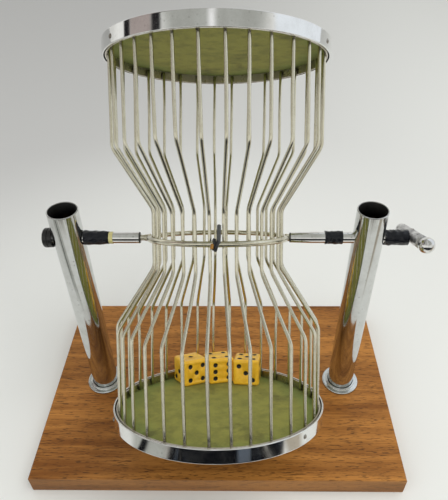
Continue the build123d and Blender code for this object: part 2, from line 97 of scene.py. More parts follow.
def axle_reach(node):
    """How far along the axle a node starts and ends, from the middle between the posts."""
    low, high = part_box(node)
    return low.x - AXLE_X, high.x - AXLE_X


# What a user would change

def length(name, description, default):
    return FloatProperty(name=name, description=description, default=default, min=0.0, unit="LENGTH", precision=5)


def colour(name, description, default):
    return FloatVectorProperty(name=name, description=description, default=default, size=3, min=0, max=1, subtype="COLOR")


class CageSizes(bpy.types.PropertyGroup):
    """Sizes of the cage's wire work."""

    bar_count: IntProperty(name="Bars", description="Bars round the cage", default=31, min=3)
    bar_diameter: length("Bar diameter", "Thickness of one bar", 0.0024)
    bend_radius: length("Bend radius", "Inside line radius of a bar's bends", 0.012)
    drum_bends: length("Drum bends", "Distance between a bar's two outer bends", 0.1282)
    waist_bends: length("Waist bends", "Distance between a bar's two inner bends", 0.0412)
    waist_diameter: length("Waist diameter", "Across the bars' middle lines at the waist", 0.094)
    bar_end_gap: length("Bar end gap", "From the felt to the tip of a bar", 0.0013)
    ring_wire: length("Ring wire", "Thickness of the waist ring", 0.0039)
    hoop_height: length("Hoop height", "Height of an outer hoop", 0.0101)
    hoop_wall: length("Hoop wall", "Thickness of an outer hoop", 0.0013)
    band_height: length("Band height", "Height of an inner band", 0.0073)
    band_wall: length("Band wall", "Thickness of an inner band", 0.0012)
    disc_thickness: length("Disc thickness", "Thickness of an end disc", 0.0024)
    felt_thickness: length("Felt thickness", "Thickness of the felt", 0.0012)
    rivet_from_end: length("Rivet from end", "From the cage's end to a rivet's middle", 0.0054)
    rivet_head: length("Rivet head", "Diameter of a rivet's head", 0.0034)
    rivet_height: length("Rivet height", "How far a rivet's head stands out", 0.0008)


class AxleSizes(bpy.types.PropertyGroup):
    """Sizes of the axle, its tapes and the handle."""

    post_wall: length("Post wall", "Thickness of a post's tube", 0.001)
    rod_diameter: length("Rod diameter", "Thickness of the rods welded to the ring", 0.0042)
    sleeve_diameter: length("Sleeve diameter", "Outside of the sleeves on the rods", 0.0083)
    sleeve_edge: length("Sleeve edge", "Size of the broken edge at a sleeve's end", 0.0006)
    taper: length("Taper", "Length of the right sleeve's swaged tip", 0.017)
    swage: length("Swage", "How much the tip's radius is smaller", 0.0005)
    handle_diameter: length("Handle diameter", "Thickness of the handle at its front end", 0.0098)
    handle_tip: length("Handle tip", "Thickness of the handle at its back end", 0.0096)
    handle_back: length("Handle back", "From the axle to the handle's back end", 0.035)
    handle_front: length("Handle front", "From the axle to the handle's front end", 0.019)
    knob_diameter: length("Knob diameter", "Diameter of the ball", 0.01148)
    knob_neck: length("Knob neck", "Thickness of the ball's neck", 0.0066)
    knob_centre: length("Knob centre", "From the axle to the middle of the ball", 0.02645)
    tie_wire: length("Tie wire", "Thickness of the tie", 0.0021)


class Finishes(bpy.types.PropertyGroup):
    """Colours of the finishes, as linear values."""

    wood_light: colour("Wood light", "Light streaks of the board", (0.53, 0.225, 0.047))
    wood_dark: colour("Wood dark", "Dark streaks of the board", (0.215, 0.074, 0.011))
    wood_edge: colour("Wood edge", "Sawn edges of the board", (0.30, 0.17, 0.085))
    chrome: colour("Chrome", "Bright plating", (0.80, 0.80, 0.79))
    nickel: colour("Nickel", "Plating of the bars", (0.74, 0.71, 0.58))
    tarnish: colour("Tarnish", "Brown film on the bars", (0.30, 0.24, 0.12))
    tin: colour("Tin", "Dull plating of the inner bands", (0.58, 0.54, 0.46))
    felt: colour("Felt", "Felt in the middle", (0.295, 0.285, 0.055))
    felt_rim: colour("Felt rim", "Felt near its rim", (0.17, 0.235, 0.055))
    tape: colour("Tape", "Insulating tape", (0.005, 0.006, 0.009))
    adhesive: colour("Adhesive", "Yellowed adhesive", (0.66, 0.60, 0.26))
    cap: colour("Cap", "Moulded cap", (0.010, 0.010, 0.010))
    amber: colour("Amber", "Body of the dice", (1.0, 0.585, 0.035))
    pip: colour("Pip", "Paint in the pips", (0.006, 0.006, 0.007))
    copper: colour("Copper", "Bare end of the tie", (0.75, 0.38, 0.10))


class Studio(bpy.types.PropertyGroup):
    """Floor, lamps and camera."""

    floor: colour("Floor", "Floor round the object", (0.86, 0.87, 0.83))
    # Painted shade of the floor further out at the left.
    far_floor_shade: colour("Far floor", "Floor further out, at the left", (0.61, 0.61, 0.59))
    sky: FloatProperty(name="Sky", description="Strength of the even light from all round", default=0.62, min=0)
    key: FloatProperty(name="Key", description="Power of the large lamp overhead", default=9.0, min=0, unit="POWER")
    fill: FloatProperty(name="Fill", description="Power of the lamp at the left", default=2.5, min=0, unit="POWER")
    lens: FloatProperty(name="Lens", description="Focal length in millimetres", default=37.653, min=1)


def cage_sizes():
    return bpy.context.scene.dice_cage_wire


def axle_sizes():
    return bpy.context.scene.dice_cage_axle


def finishes():
    return bpy.context.scene.dice_cage_finishes


def studio():
    return bpy.context.scene.dice_cage_studio


# Surfaces

def mesh_from_grids(name, grids):
    """A mesh from one or more closed grids of points, each an array (rows, columns, 3) that joins up across its columns.

    A quad joins each point to the next row and the next column. Rows that shrink to a point become poles."""
    points = []
    quads = []
    start = 0
    for grid in grids:
        rows, columns = grid.shape[:2]
        index = start + np.arange(rows * columns).reshape(rows, columns)
        right = np.roll(index, -1, axis=1)
        quads.append(np.stack([index[:-1], right[:-1], right[1:], index[1:]], axis=-1).reshape(-1, 4))
        points.append(grid.reshape(-1, 3))
        start += rows * columns
    points = np.concatenate(points)
    quads = np.concatenate(quads)
    mesh = bpy.data.meshes.new(name)
    mesh.vertices.add(len(points))
    mesh.vertices.foreach_set("co", points.astype(np.float32).ravel())
    mesh.loops.add(quads.size)
    mesh.loops.foreach_set("vertex_index", quads.astype(np.int32).ravel())
    mesh.polygons.add(len(quads))
    mesh.polygons.foreach_set("loop_start", np.arange(0, quads.size, 4, dtype=np.int32))
    mesh.update(calc_edges=True)
    tidy(mesh)
    return mesh


def add_mesh(name, grids, body, replaced=(), material=None, angle=40.0):
    """A piece from closed grids, riding on a body."""
    return add_piece(name, mesh_from_grids(name, grids), body, replaced, material, angle)


def tidy(mesh):
    """Merges seams and poles and turns the faces outwards."""
    work = bmesh.new()
    work.from_mesh(mesh)
    bmesh.ops.remove_doubles(work, verts=work.verts, dist=1e-7)
    bmesh.ops.dissolve_degenerate(work, edges=work.edges, dist=1e-8)
    bmesh.ops.recalc_face_normals(work, faces=work.faces)
    work.to_mesh(mesh)
    work.free()


def add_piece(name, mesh, body, replaced, material, angle=40.0):
    mesh.polygons.foreach_set("use_smooth", np.ones(len(mesh.polygons), dtype=bool))
    mesh.set_sharp_from_angle(angle=math.radians(angle))
    piece = bpy.data.objects.new(name, mesh)
    bpy.context.scene.collection.objects.link(piece)
    if material:
        mesh.materials.append(material)
    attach(piece, body)
    if replaced:
        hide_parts(*replaced)
    return piece


def rounded(corners, steps=5, close=False):
    """A line through (a, b, radius) corners, each turned by an arc of its radius that touches both runs."""
    corners = [np.array(corner, float) for corner in corners]
    count = len(corners)
    line = []
    for i, corner in enumerate(corners):
        here, radius = corner[:2], corner[2]
        if radius == 0 or (not close and i in (0, count - 1)):
            line.append(here[None])
            continue
        before = corners[i - 1][:2] - here
        after = corners[(i + 1) % count][:2] - here
        before /= np.linalg.norm(before)
        after /= np.linalg.norm(after)
        half_turn = math.acos(np.clip(before @ after, -1, 1)) / 2
        inward = (before + after) / np.linalg.norm(before + after)
        centre = here + inward * radius / math.sin(half_turn)
        first = here + before * radius / math.tan(half_turn) - centre
        last = here + after * radius / math.tan(half_turn) - centre
        share = np.linspace(0, 1, steps + 1)[:, None]
        turn = math.pi - 2 * half_turn
        arc = (np.sin((1 - share) * turn) * first + np.sin(share * turn) * last) / math.sin(turn)
        line.append(centre + arc)
    line = np.concatenate(line)
    return np.concatenate([line, line[:1]]) if close else line


def held(line, gap=0.0002):
    """The same line with a point near each end of its long runs, so that smooth shading keeps the runs straight."""
    points = [line[:1]]
    for a, b in zip(line[:-1], line[1:]):
        run = np.linalg.norm(b - a)
        if run > 4 * gap:
            points.append(np.stack([a + (b - a) * gap / run, b - (b - a) * gap / run]))
        points.append(b[None])
    return np.concatenate(points)


def lathe(profile, turns=96, hold=True):
    """Turns (along, radius) points about X: each point goes to (along, radius cos t, radius sin t)."""
    if hold:
        profile = held(profile)
    t = np.linspace(0, TAU, turns, endpoint=False)
    along = np.repeat(profile[:, :1], turns, axis=1)
    return np.stack([along, profile[:, 1:] * np.cos(t), profile[:, 1:] * np.sin(t)], axis=-1)


def upright(grid):
    """Stands a shape turned about X on its axis: X goes to Z."""
    return np.stack([grid[..., 1], grid[..., 2], grid[..., 0]], axis=-1)


def in_cage(grid):
    """Cage places (across, back, up) to places in the frame."""
    return AXLE + grid[..., :1] * np.array([1.0, 0, 0]) + grid[..., 1:2] * CAGE_BACK + grid[..., 2:3] * CAGE_UP


def on_axle(grid):
    return grid + AXLE


def tube_along(line, normal, radius, sides=20, round_ends=True):
    """A round tube about a line in space. Each ring is line + radius (cos t normal + sin t (tangent x normal)).

    normal is one vector for a flat line, or one for each point. Rounded ends shrink over three rings."""
    tangent = np.gradient(line, axis=0)
    tangent /= np.linalg.norm(tangent, axis=1)[:, None]
    normal = np.broadcast_to(normal, line.shape)
    normal = normal - (normal * tangent).sum(1)[:, None] * tangent
    normal = normal / np.linalg.norm(normal, axis=1)[:, None]
    side = np.cross(tangent, normal)
    radius = np.broadcast_to(radius, (len(line),)).copy()
    if round_ends:
        share = np.array([0.0, 0.5, 0.85])
        back = np.array([1.0, 0.8, 0.45])
        r0, r1 = radius[0], radius[-1]
        head = line[0] - tangent[0] * r0 * 0.6 * back[:, None]
        tail = line[-1] + tangent[-1] * r1 * 0.6 * back[::-1, None]
        line = np.concatenate([head, line, tail])
        radius = np.concatenate([r0 * share, radius, r1 * share[::-1]])
        normal = np.concatenate([np.repeat(normal[:1], 3, 0), normal, np.repeat(normal[-1:], 3, 0)])
        side = np.concatenate([np.repeat(side[:1], 3, 0), side, np.repeat(side[-1:], 3, 0)])
    t = np.linspace(0, TAU, sides, endpoint=False)[None, :, None]
    ring = np.cos(t) * normal[:, None] + np.sin(t) * side[:, None]
    return line[:, None] + radius[:, None, None] * ring


def ripple(grid, seed, size, scale):
    """A soft unevenness: the sum of six sines with seeded directions, moved along each point's own radius from X."""
    chance = np.random.default_rng(seed)
    waves = chance.normal(size=(6, 3)) * scale
    phases = chance.uniform(0, TAU, 6)
    height = np.sin(grid @ waves.T + phases).sum(-1) * size / 3
    outward = grid * np.array([0.0, 1.0, 1.0])
    outward = outward / np.maximum(np.linalg.norm(outward, axis=-1, keepdims=True), 1e-9)
    return grid + height[..., None] * outward


# Shader building

class Shader:
    """Adds nodes to a tree from short calls. A socket given as a value is linked, anything else is set."""

    def __init__(self, tree):
        self.tree = tree

    def add(self, kind, values=None, **settings):
        node = self.tree.nodes.new(kind)
        for name, value in settings.items():
            setattr(node, name, value)
        for name, value in (values or {}).items():
            if isinstance(value, bpy.types.NodeSocket):
                self.tree.links.new(value, node.inputs[name])
            else:
                node.inputs[name].default_value = value
        return node

    def maths(self, operation, a, b=0.0, c=0.0, clamp=False):
        return self.add("ShaderNodeMath", {0: a, 1: b, 2: c}, operation=operation, use_clamp=clamp).outputs[0]

    def noise(self, vector, scale, detail=3.0, roughness=0.55, distortion=0.0):
        values = {"Vector": vector, "Scale": scale, "Detail": detail, "Roughness": roughness, "Distortion": distortion}
        return self.add("ShaderNodeTexNoise", values).outputs["Fac"]

    def between(self, value, low, high, out_low=0.0, out_high=1.0):
        values = {"Value": value, "From Min": low, "From Max": high, "To Min": out_low, "To Max": out_high}
        return self.add("ShaderNodeMapRange", values, interpolation_type="SMOOTHSTEP").outputs[0]

    def mix(self, share, a, b, blend="MIX"):
        node = self.add("ShaderNodeMix", data_type="RGBA", blend_type=blend)
        for socket, value in ((node.inputs[0], share), (node.inputs[6], a), (node.inputs[7], b)):
            if isinstance(value, bpy.types.NodeSocket):
                self.tree.links.new(value, socket)
            elif socket == node.inputs[0]:
                socket.default_value = value
            else:
                socket.default_value = (*value[:3], 1.0)
        return node.outputs[2]

    def stretch(self, vector, scale, turn=(0, 0, 0), place=(0, 0, 0)):
        values = {"Vector": vector, "Location": place, "Rotation": turn, "Scale": scale}
        return self.add("ShaderNodeMapping", values).outputs[0]

    def bump(self, height, strength, distance=0.0002):
        return self.add("ShaderNodeBump", {"Height": height, "Strength": strength, "Distance": distance}).outputs[0]


def group(name, inputs, outputs, fill):
    """A node group made once: inputs are (name, kind, default), fill gets its shader, inputs and output node."""
    if name in bpy.data.node_groups:
        return bpy.data.node_groups[name]
    tree = bpy.data.node_groups.new(name, "ShaderNodeTree")
    for label, kind, default in inputs:
        socket = tree.interface.new_socket(label, in_out="INPUT", socket_type="NodeSocket" + kind)
        if kind == "Color":
            socket.default_value = (*default, 1.0)
        elif kind == "Float":
            socket.default_value = default
    for label, kind in outputs:
        tree.interface.new_socket(label, in_out="OUTPUT", socket_type="NodeSocket" + kind)
    shader = Shader(tree)
    source = shader.add("NodeGroupInput")
    result = shader.add("NodeGroupOutput")
    fill(shader, source.outputs, result.inputs)
    return tree


def place_group(shader, tree, values):
    node = shader.add("ShaderNodeGroup", node_tree=tree)
    for name, value in values.items():
        if isinstance(value, bpy.types.NodeSocket):
            shader.tree.links.new(value, node.inputs[name])
        elif isinstance(value, (tuple, list)) or hasattr(value, "__len__"):
            node.inputs[name].default_value = (*value[:3], 1.0)
        else:
            node.inputs[name].default_value = value
    return node.outputs


def new_material(name):
    """A material with an empty tree but for its output, its shader and object coordinates."""
    material = bpy.data.materials.new(name)
    material.use_nodes = True
    tree = material.node_tree
    tree.nodes.clear()
    shader = Shader(tree)
    surface = shader.add("ShaderNodeBsdfPrincipled")
    output = shader.add("ShaderNodeOutputMaterial")
    tree.links.new(surface.outputs[0], output.inputs[0])
    place = shader.add("ShaderNodeTexCoord").outputs["Object"]
    return material, shader, surface, place


def finish_surface(shader, surface, values):
    for name, value in values.items():
        if isinstance(value, bpy.types.NodeSocket):
            shader.tree.links.new(value, surface.inputs[name])
        elif name in ("Base Color", "Sheen Tint", "Coat Tint", "Specular Tint"):
            surface.inputs[name].default_value = (*value[:3], 1.0)
        else:
            surface.inputs[name].default_value = value


def fill_wear(shader, source, result):
    """Blotches of film, fine scratches and small pits on a plated surface."""
    vector = source["Vector"]
    blotch = shader.noise(vector, 90.0, 5.0, 0.65)
    fine = shader.noise(vector, 700.0, 4.0, 0.7)
    film = shader.between(shader.maths("ADD", blotch, shader.maths("MULTIPLY", fine, 0.35)), 0.52, 0.86)
    film = shader.maths("MULTIPLY", film, source["Film"], clamp=True)
    cells = shader.add("ShaderNodeTexVoronoi", {"Vector": vector, "Scale": 420.0, "Randomness": 1.0})
    chosen = shader.between(shader.add("ShaderNodeSeparateColor", {0: cells.outputs["Color"]}).outputs[0], 0.80, 0.84)
    spot = shader.between(cells.outputs["Distance"], 0.16, 0.30, 1.0, 0.0)
    pit = shader.maths("MULTIPLY", shader.maths("MULTIPLY", chosen, spot), source["Pits"], clamp=True)
    tone = shader.mix(film, source["Metal"], source["Tarnish"])
    tone = shader.mix(pit, tone, source["Pit colour"])
    rough = shader.maths("ADD", source["Roughness"], shader.maths("MULTIPLY", film, 0.22))
    rough = shader.maths("ADD", rough, shader.maths("MULTIPLY", pit, 0.35), clamp=True)
    height = shader.maths("SUBTRACT", shader.maths("MULTIPLY", fine, 0.12), pit)
    for name, value in (("Color", tone), ("Roughness", rough), ("Height", height)):
        shader.tree.links.new(value, result[name])


def wear_group():
    inputs = [
        ("Vector", "Vector", None),
        ("Metal", "Color", (0.8, 0.8, 0.8)),
        ("Tarnish", "Color", (0.2, 0.15, 0.1)),
        ("Pit colour", "Color", (0.03, 0.025, 0.02)),
        ("Film", "Float", 0.3),
        ("Pits", "Float", 0.5),
        ("Roughness", "Float", 0.1),
    ]
    return group("Plated wear", inputs, [("Color", "Color"), ("Roughness", "Float"), ("Height", "Float")], fill_wear)


def plated(name, metal, tarnish, film, pits, roughness, bump=0.15, stretch=(1, 1, 1)):
    """A plated metal with film, scratches and pits."""
    material, shader, surface, place = new_material(name)
    worn = place_group(
        shader,
        wear_group(),
        {
            "Vector": shader.stretch(place, stretch),
            "Metal": metal,
            "Tarnish": tarnish,
            "Film": film,
            "Pits": pits,
            "Roughness": roughness,
        },
    )
    finish_surface(
        shader,
        surface,
        {
            "Base Color": worn["Color"],
            "Metallic": 1.0,
            "Roughness": worn["Roughness"],
            "Normal": shader.bump(worn["Height"], bump),
        },
    )
    return material


def fill_grain(shader, source, result):
    """Long fibres along X over slow bands, with short dark pores."""
    vector = source["Vector"]
    slow = shader.noise(shader.stretch(vector, (3.0, 22.0, 22.0)), 1.0, 4.0, 0.6, 0.6)
    bands = shader.noise(shader.stretch(vector, (7.0, 120.0, 120.0)), 1.0, 3.0, 0.55, 0.3)
    fibre = shader.noise(shader.stretch(vector, (40.0, 1100.0, 1100.0)), 1.0, 3.0, 0.6)
    pores = shader.noise(shader.stretch(vector, (150.0, 1500.0, 1500.0)), 1.0, 1.0, 0.5)
    pore = shader.between(pores, 0.58, 0.66)
    tone = shader.maths("MULTIPLY_ADD", bands, 0.55, shader.maths("MULTIPLY", slow, 0.75))
    tone = shader.maths("ADD", tone, shader.maths("MULTIPLY", fibre, 0.35))
    share = shader.between(tone, 0.62, 1.02)
    shade = shader.mix(share, source["Dark"], source["Light"])
    shade = shader.mix(shader.maths("MULTIPLY", pore, 0.7), shade, (0.045, 0.018, 0.006))
    shader.tree.links.new(shade, result["Color"])
    shader.tree.links.new(shader.maths("SUBTRACT", shader.maths("MULTIPLY", fibre, 0.5), pore), result["Height"])


def wood_material(name, light, dark, edge=None):
    """Wood with grain along X. edge is the colour of its sawn front, back and end faces."""
    material, shader, surface, place = new_material(name)
    inputs = [("Vector", "Vector", None), ("Light", "Color", light), ("Dark", "Color", dark)]
    grain = group("Wood grain", inputs, [("Color", "Color"), ("Height", "Float")], fill_grain)
    wood = place_group(shader, grain, {"Vector": place, "Light": light, "Dark": dark})
    tone = wood["Color"]
    roughness = 0.5
    if edge is not None:
        parts = shader.add("ShaderNodeSeparateXYZ", {0: place}).outputs
        side = shader.between(shader.maths("ABSOLUTE", parts[1]), BOARD_HALF_DEPTH - 0.0008, BOARD_HALF_DEPTH - 0.0002)
        end = shader.between(shader.maths("ABSOLUTE", parts[0]), BOARD_HALF_WIDTH - 0.0008, BOARD_HALF_WIDTH - 0.0002)
        sawn = shader.maths("MAXIMUM", side, end)
        saw = shader.noise(shader.stretch(place, (900.0, 60.0, 60.0)), 1.0, 3.0, 0.6)
        rough_tone = shader.mix(0.45, tone, shader.mix(saw, edge, [0.75 * c for c in edge]))
        tone = shader.mix(sawn, tone, rough_tone)
        roughness = shader.between(sawn, 0.0, 1.0, 0.44, 0.75)
    finish_surface(
        shader,
        surface,
        {
            "Base Color": tone,
            "Roughness": roughness,
            "Specular IOR Level": 0.3,
            "Normal": shader.bump(wood["Height"], 0.25, 0.0001),
        },
    )
    return material


def post_material():
    """Chrome outside, and grime inside the bore: dark wherever the surface lies nearer the post's middle than its wall."""
    look = finishes()
    material, shader, surface, place = new_material("Post chrome")
    # The post's metal is a darker copy of the chrome: painted shade for the darker room it reflects.
    worn = place_group(
        shader,
        wear_group(),
        {"Vector": place, "Metal": (0.63, 0.64, 0.63), "Tarnish": (0.36, 0.35, 0.32), "Film": 0.3, "Pits": 0.4, "Roughness": 0.05},
    )
    parts = shader.add("ShaderNodeSeparateXYZ", {0: place}).outputs
    half_spacing = (middle("post_right").x - middle("post_left").x) / 2
    across = shader.maths("SUBTRACT", shader.maths("ABSOLUTE", shader.maths("SUBTRACT", parts[0], AXLE_X)), half_spacing)
    reach = shader.maths("SQRT", shader.maths("ADD", shader.maths("POWER", shader.maths("ABSOLUTE", across), 2.0), shader.maths("POWER", shader.maths("ABSOLUTE", parts[1]), 2.0)))
    wall = axle_sizes().post_wall
    inside = shader.between(reach, POST_RADIUS - wall * 0.75, POST_RADIUS - wall * 0.6, 1.0, 0.0)
    deep = shader.between(parts[2], POST_TOP - 0.012, POST_TOP - 0.001, 1.0, 0.55)
    # Painted shade in the bore: dark inside the wall and darkest further down, near-black mottled with rust brown.
    grime = shader.maths("MULTIPLY", inside, deep)
    rust = shader.between(shader.noise(place, 240.0, 4.0), 0.5, 0.7)
    tone = shader.mix(grime, worn["Color"], shader.mix(rust, (0.012, 0.013, 0.012), (0.05, 0.035, 0.018)))
    finish_surface(
        shader,
        surface,
        {
            "Base Color": tone,
            "Metallic": 1.0,
            "Roughness": shader.maths("ADD", worn["Roughness"], shader.maths("MULTIPLY", inside, 0.35)),
            "Normal": shader.bump(worn["Height"], 0.08),
        },
    )
    return material


def hoop_material():
    look = finishes()
    return plated("Hoop chrome", look.chrome, (0.50, 0.49, 0.46), 0.2, 0.12, 0.06, 0.03)


def nickel_material():
    """Nickel wire with brown film in patches and burnt tips."""
    look = finishes()
    material, shader, surface, place = new_material("Nickel wire")
    worn = place_group(
        shader,
        wear_group(),
        {
            "Vector": place,
            "Metal": look.nickel,
            "Tarnish": look.tarnish,
            "Film": 0.16,
            "Pits": 0.1,
            "Roughness": 0.2,
        },
    )
    parts = shader.add("ShaderNodeVectorMath", {0: place, 1: tuple(AXLE)}, operation="SUBTRACT").outputs[0]
    up = shader.add("ShaderNodeVectorMath", {0: parts, 1: tuple(CAGE_UP)}, operation="DOT_PRODUCT").outputs["Value"]
    tip = shader.maths("SUBTRACT", CAGE_END, shader.maths("ABSOLUTE", up))
    ragged = shader.maths("MULTIPLY", shader.noise(place, 260.0), 0.006)
    burnt = shader.between(shader.maths("SUBTRACT", tip, ragged), 0.0015, 0.0062, 0.6, 0.0)
    tone = shader.mix(burnt, worn["Color"], (0.06, 0.05, 0.035))
    finish_surface(
        shader,
        surface,
        {
            "Base Color": tone,
            "Metallic": 1.0,
            "Roughness": worn["Roughness"],
            "Normal": shader.bump(worn["Height"], 0.012),
        },
    )
    return material


def felt_material():
    """Worn felt: mottled olive, greener at the rim, with smudges and short fibres."""
    look = finishes()
    material, shader, surface, place = new_material("Olive felt")
    parts = shader.add("ShaderNodeVectorMath", {0: place, 1: tuple(AXLE)}, operation="SUBTRACT").outputs[0]
    across = shader.add("ShaderNodeVectorMath", {0: parts, 1: (1, 0, 0)}, operation="DOT_PRODUCT").outputs["Value"]
    back = shader.add("ShaderNodeVectorMath", {0: parts, 1: tuple(CAGE_BACK)}, operation="DOT_PRODUCT").outputs["Value"]
    reach = shader.maths("SQRT", shader.maths("ADD", shader.maths("POWER", across, 2.0), shader.maths("POWER", back, 2.0)))
    uneven = shader.maths("MULTIPLY", shader.noise(place, 45.0, 4.0), 0.03)
    rim = shader.between(shader.maths("ADD", reach, uneven), 0.066, 0.092)
    tone = shader.mix(rim, look.felt, look.felt_rim)
    cloud = shader.noise(place, 75.0, 6.0, 0.7)
    tone = shader.mix(shader.between(cloud, 0.38, 0.68, 0.0, 0.7), tone, (0.15, 0.155, 0.032))
    fibre = shader.noise(place, 1500.0, 3.0, 0.7)
    tone = shader.mix(shader.between(fibre, 0.4, 0.75, 0.0, 0.3), tone, (0.33, 0.34, 0.12))
    speck = shader.between(shader.noise(place, 480.0, 2.0, 0.5), 0.70, 0.76, 0.0, 0.75)
    smudge = shader.between(shader.noise(place, 32.0, 5.0, 0.65), 0.56, 0.72, 0.0, 0.55)
    tone = shader.mix(shader.maths("MAXIMUM", speck, smudge), tone, (0.05, 0.045, 0.018))
    height = shader.maths("ADD", fibre, shader.maths("MULTIPLY", shader.noise(place, 420.0, 3.0), 0.8))
    finish_surface(
        shader,
        surface,
        {
            "Base Color": tone,
            "Roughness": 0.95,
            "Sheen Weight": 0.12,
            "Sheen Roughness": 0.6,
            "Sheen Tint": (0.6, 0.62, 0.3),
            "Normal": shader.bump(height, 0.55, 0.0003),
        },
    )
    return material


def tape_material():
    """Glossy insulating tape with dust in the creases."""
    look = finishes()
    material, shader, surface, place = new_material("Black tape")
    dust = shader.noise(place, 420.0, 5.0, 0.7)
    tone = shader.mix(shader.between(dust, 0.60, 0.85, 0.0, 0.25), look.tape, (0.07, 0.08, 0.10))
    crease = shader.noise(shader.stretch(place, (0.45, 1.0, 1.0)), 330.0, 3.0, 0.5, 0.6)
    finish_surface(
        shader,
        surface,
        {
            "Base Color": tone,
            "Roughness": shader.between(dust, 0.35, 0.8, 0.05, 0.18),
            "Specular IOR Level": 0.35,
            "Normal": shader.bump(crease, 0.9, 0.0012),
        },
    )
    return material


def plain_plastic(name, tone, dusty, roughness, scale=500.0):
    material, shader, surface, place = new_material(name)
    grime = shader.noise(place, scale, 5.0, 0.65)
    mixed = shader.mix(shader.between(grime, 0.42, 0.78, 0.0, 0.6), tone, dusty)
    finish_surface(
        shader,
        surface,
        {
            "Base Color": mixed,
            "Roughness": shader.between(grime, 0.3, 0.8, roughness * 0.8, roughness * 1.3),
            "Normal": shader.bump(grime, 0.25, 0.0002),
        },
    )
    return material


def amber_material():
    """Marbled amber resin, darker in soft swirls, handled at the edges."""
    look = finishes()
    material, shader, surface, place = new_material("Amber resin")
    swirl = shader.noise(place, 110.0, 5.0, 0.6, 1.2)
    tone = shader.mix(shader.between(swirl, 0.35, 0.75, 0.0, 0.7), look.amber, (0.80, 0.40, 0.020))
    pale = shader.noise(place, 260.0, 4.0, 0.6, 0.5)
    tone = shader.mix(shader.between(pale, 0.5, 0.75, 0.0, 0.55), tone, (1.0, 0.70, 0.10))
    finish_surface(
        shader,
        surface,
        {
            "Base Color": tone,
            "Roughness": shader.between(pale, 0.3, 0.7, 0.3, 0.45),
            "Coat Weight": 0.15,
            "Normal": shader.bump(shader.noise(place, 900.0, 3.0), 0.08),
        },
    )
    return material


def dress(node, material):
    """Gives a CAD node its finish."""
    slots = frame["nodes"][node].data.materials
    slots.clear()
    slots.append(material)


# Pieces of the stand

def make_board():
    look = finishes()
    dress("baseboard", wood_material("Board wood", look.wood_light, look.wood_dark, look.wood_edge))
    raw = wood_material("Raw turned wood", (0.55, 0.38, 0.19), (0.38, 0.24, 0.11))
    steel = plated("Screw steel", (0.5, 0.5, 0.49), (0.2, 0.16, 0.12), 0.6, 0.6, 0.35)
    for side in SIDES:
        dress("post_plug_" + side, raw)
        dress("post_screw_" + side, steel)


def make_posts():
    """Two chromed tubes: a closed wall outline turned about the post, with a rounded rim."""
    inner = POST_RADIUS - axle_sizes().post_wall
    rim = 0.0004
    corners = [
        (POST_FOOT, inner, 0),
        (POST_FOOT, POST_RADIUS, 0),
        (POST_TOP, POST_RADIUS, rim),
        (POST_TOP, inner, rim),
    ]
    outline = rounded(corners, 4, close=True)
    chrome = post_material()
    hole = axle_sizes().sleeve_diameter / 2 + 0.00008
    for side in SIDES:
        x = middle("post_" + side).x
        grid = upright(lathe(outline, 128)) + np.array([x, 0, 0])
        post = add_mesh(side + "_post_tube", [grid], "stand", ["post_" + side], chrome)
        rod = np.array([[-1.5 * POST_RADIUS, 0], [-1.5 * POST_RADIUS, hole], [1.5 * POST_RADIUS, hole], [1.5 * POST_RADIUS, 0]])
        drill_hole(post, lathe(rod, 48, hold=False) + np.array([x, 0, AXLE_Z]))


def drill_hole(piece, grid):
    """Takes the closed shape of a grid out of a piece."""
    drill = mesh_from_grids("drill", [grid])
    cutter = bpy.data.objects.new("drill", drill)
    bpy.context.scene.collection.objects.link(cutter)
    cut = piece.modifiers.new("cross hole", "BOOLEAN")
    cut.operation = "DIFFERENCE"
    cut.solver = "EXACT"
    cut.object = cutter
    solved = bpy.data.meshes.new_from_object(piece.evaluated_get(bpy.context.evaluated_depsgraph_get()))
    piece.modifiers.clear()
    materials = list(piece.data.materials)
    piece.data = solved
    solved.materials.clear()
    for material in materials:
        solved.materials.append(material)
    solved.polygons.foreach_set("material_index", np.zeros(len(solved.polygons), dtype=np.int32))
    solved.polygons.foreach_set("use_smooth", np.ones(len(solved.polygons), dtype=bool))
    solved.set_sharp_from_angle(angle=math.radians(40))
    bpy.data.objects.remove(cutter)
    bpy.data.meshes.remove(drill)


def make_flanges():
    """Two spun rings, their flat, cove and lip one outline turned about the post."""
    bore = POST_RADIUS + 0.00005
    rim = half_width("post_flange_left")
    lip_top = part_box("post_flange_left")[1].z
    flat = BOARD_TOP + 0.0015
    lip = bore + 0.0015
    corners = [
        (BOARD_TOP, bore, 0),
        (BOARD_TOP, rim, 0.0002),
        (flat, rim, 0.0009),
        (flat, lip, 0.0009),
        (lip_top, lip, 0.0006),
        (lip_top, bore, 0.0003),
    ]
    worn = flange_material()
    for side in SIDES:
        grid = upright(lathe(rounded(corners, 6, close=True), 96)) + np.array([middle("post_" + side).x, 0, 0])
        add_mesh(side + "_post_flange", [grid], "stand", ["post_flange_" + side], worn)


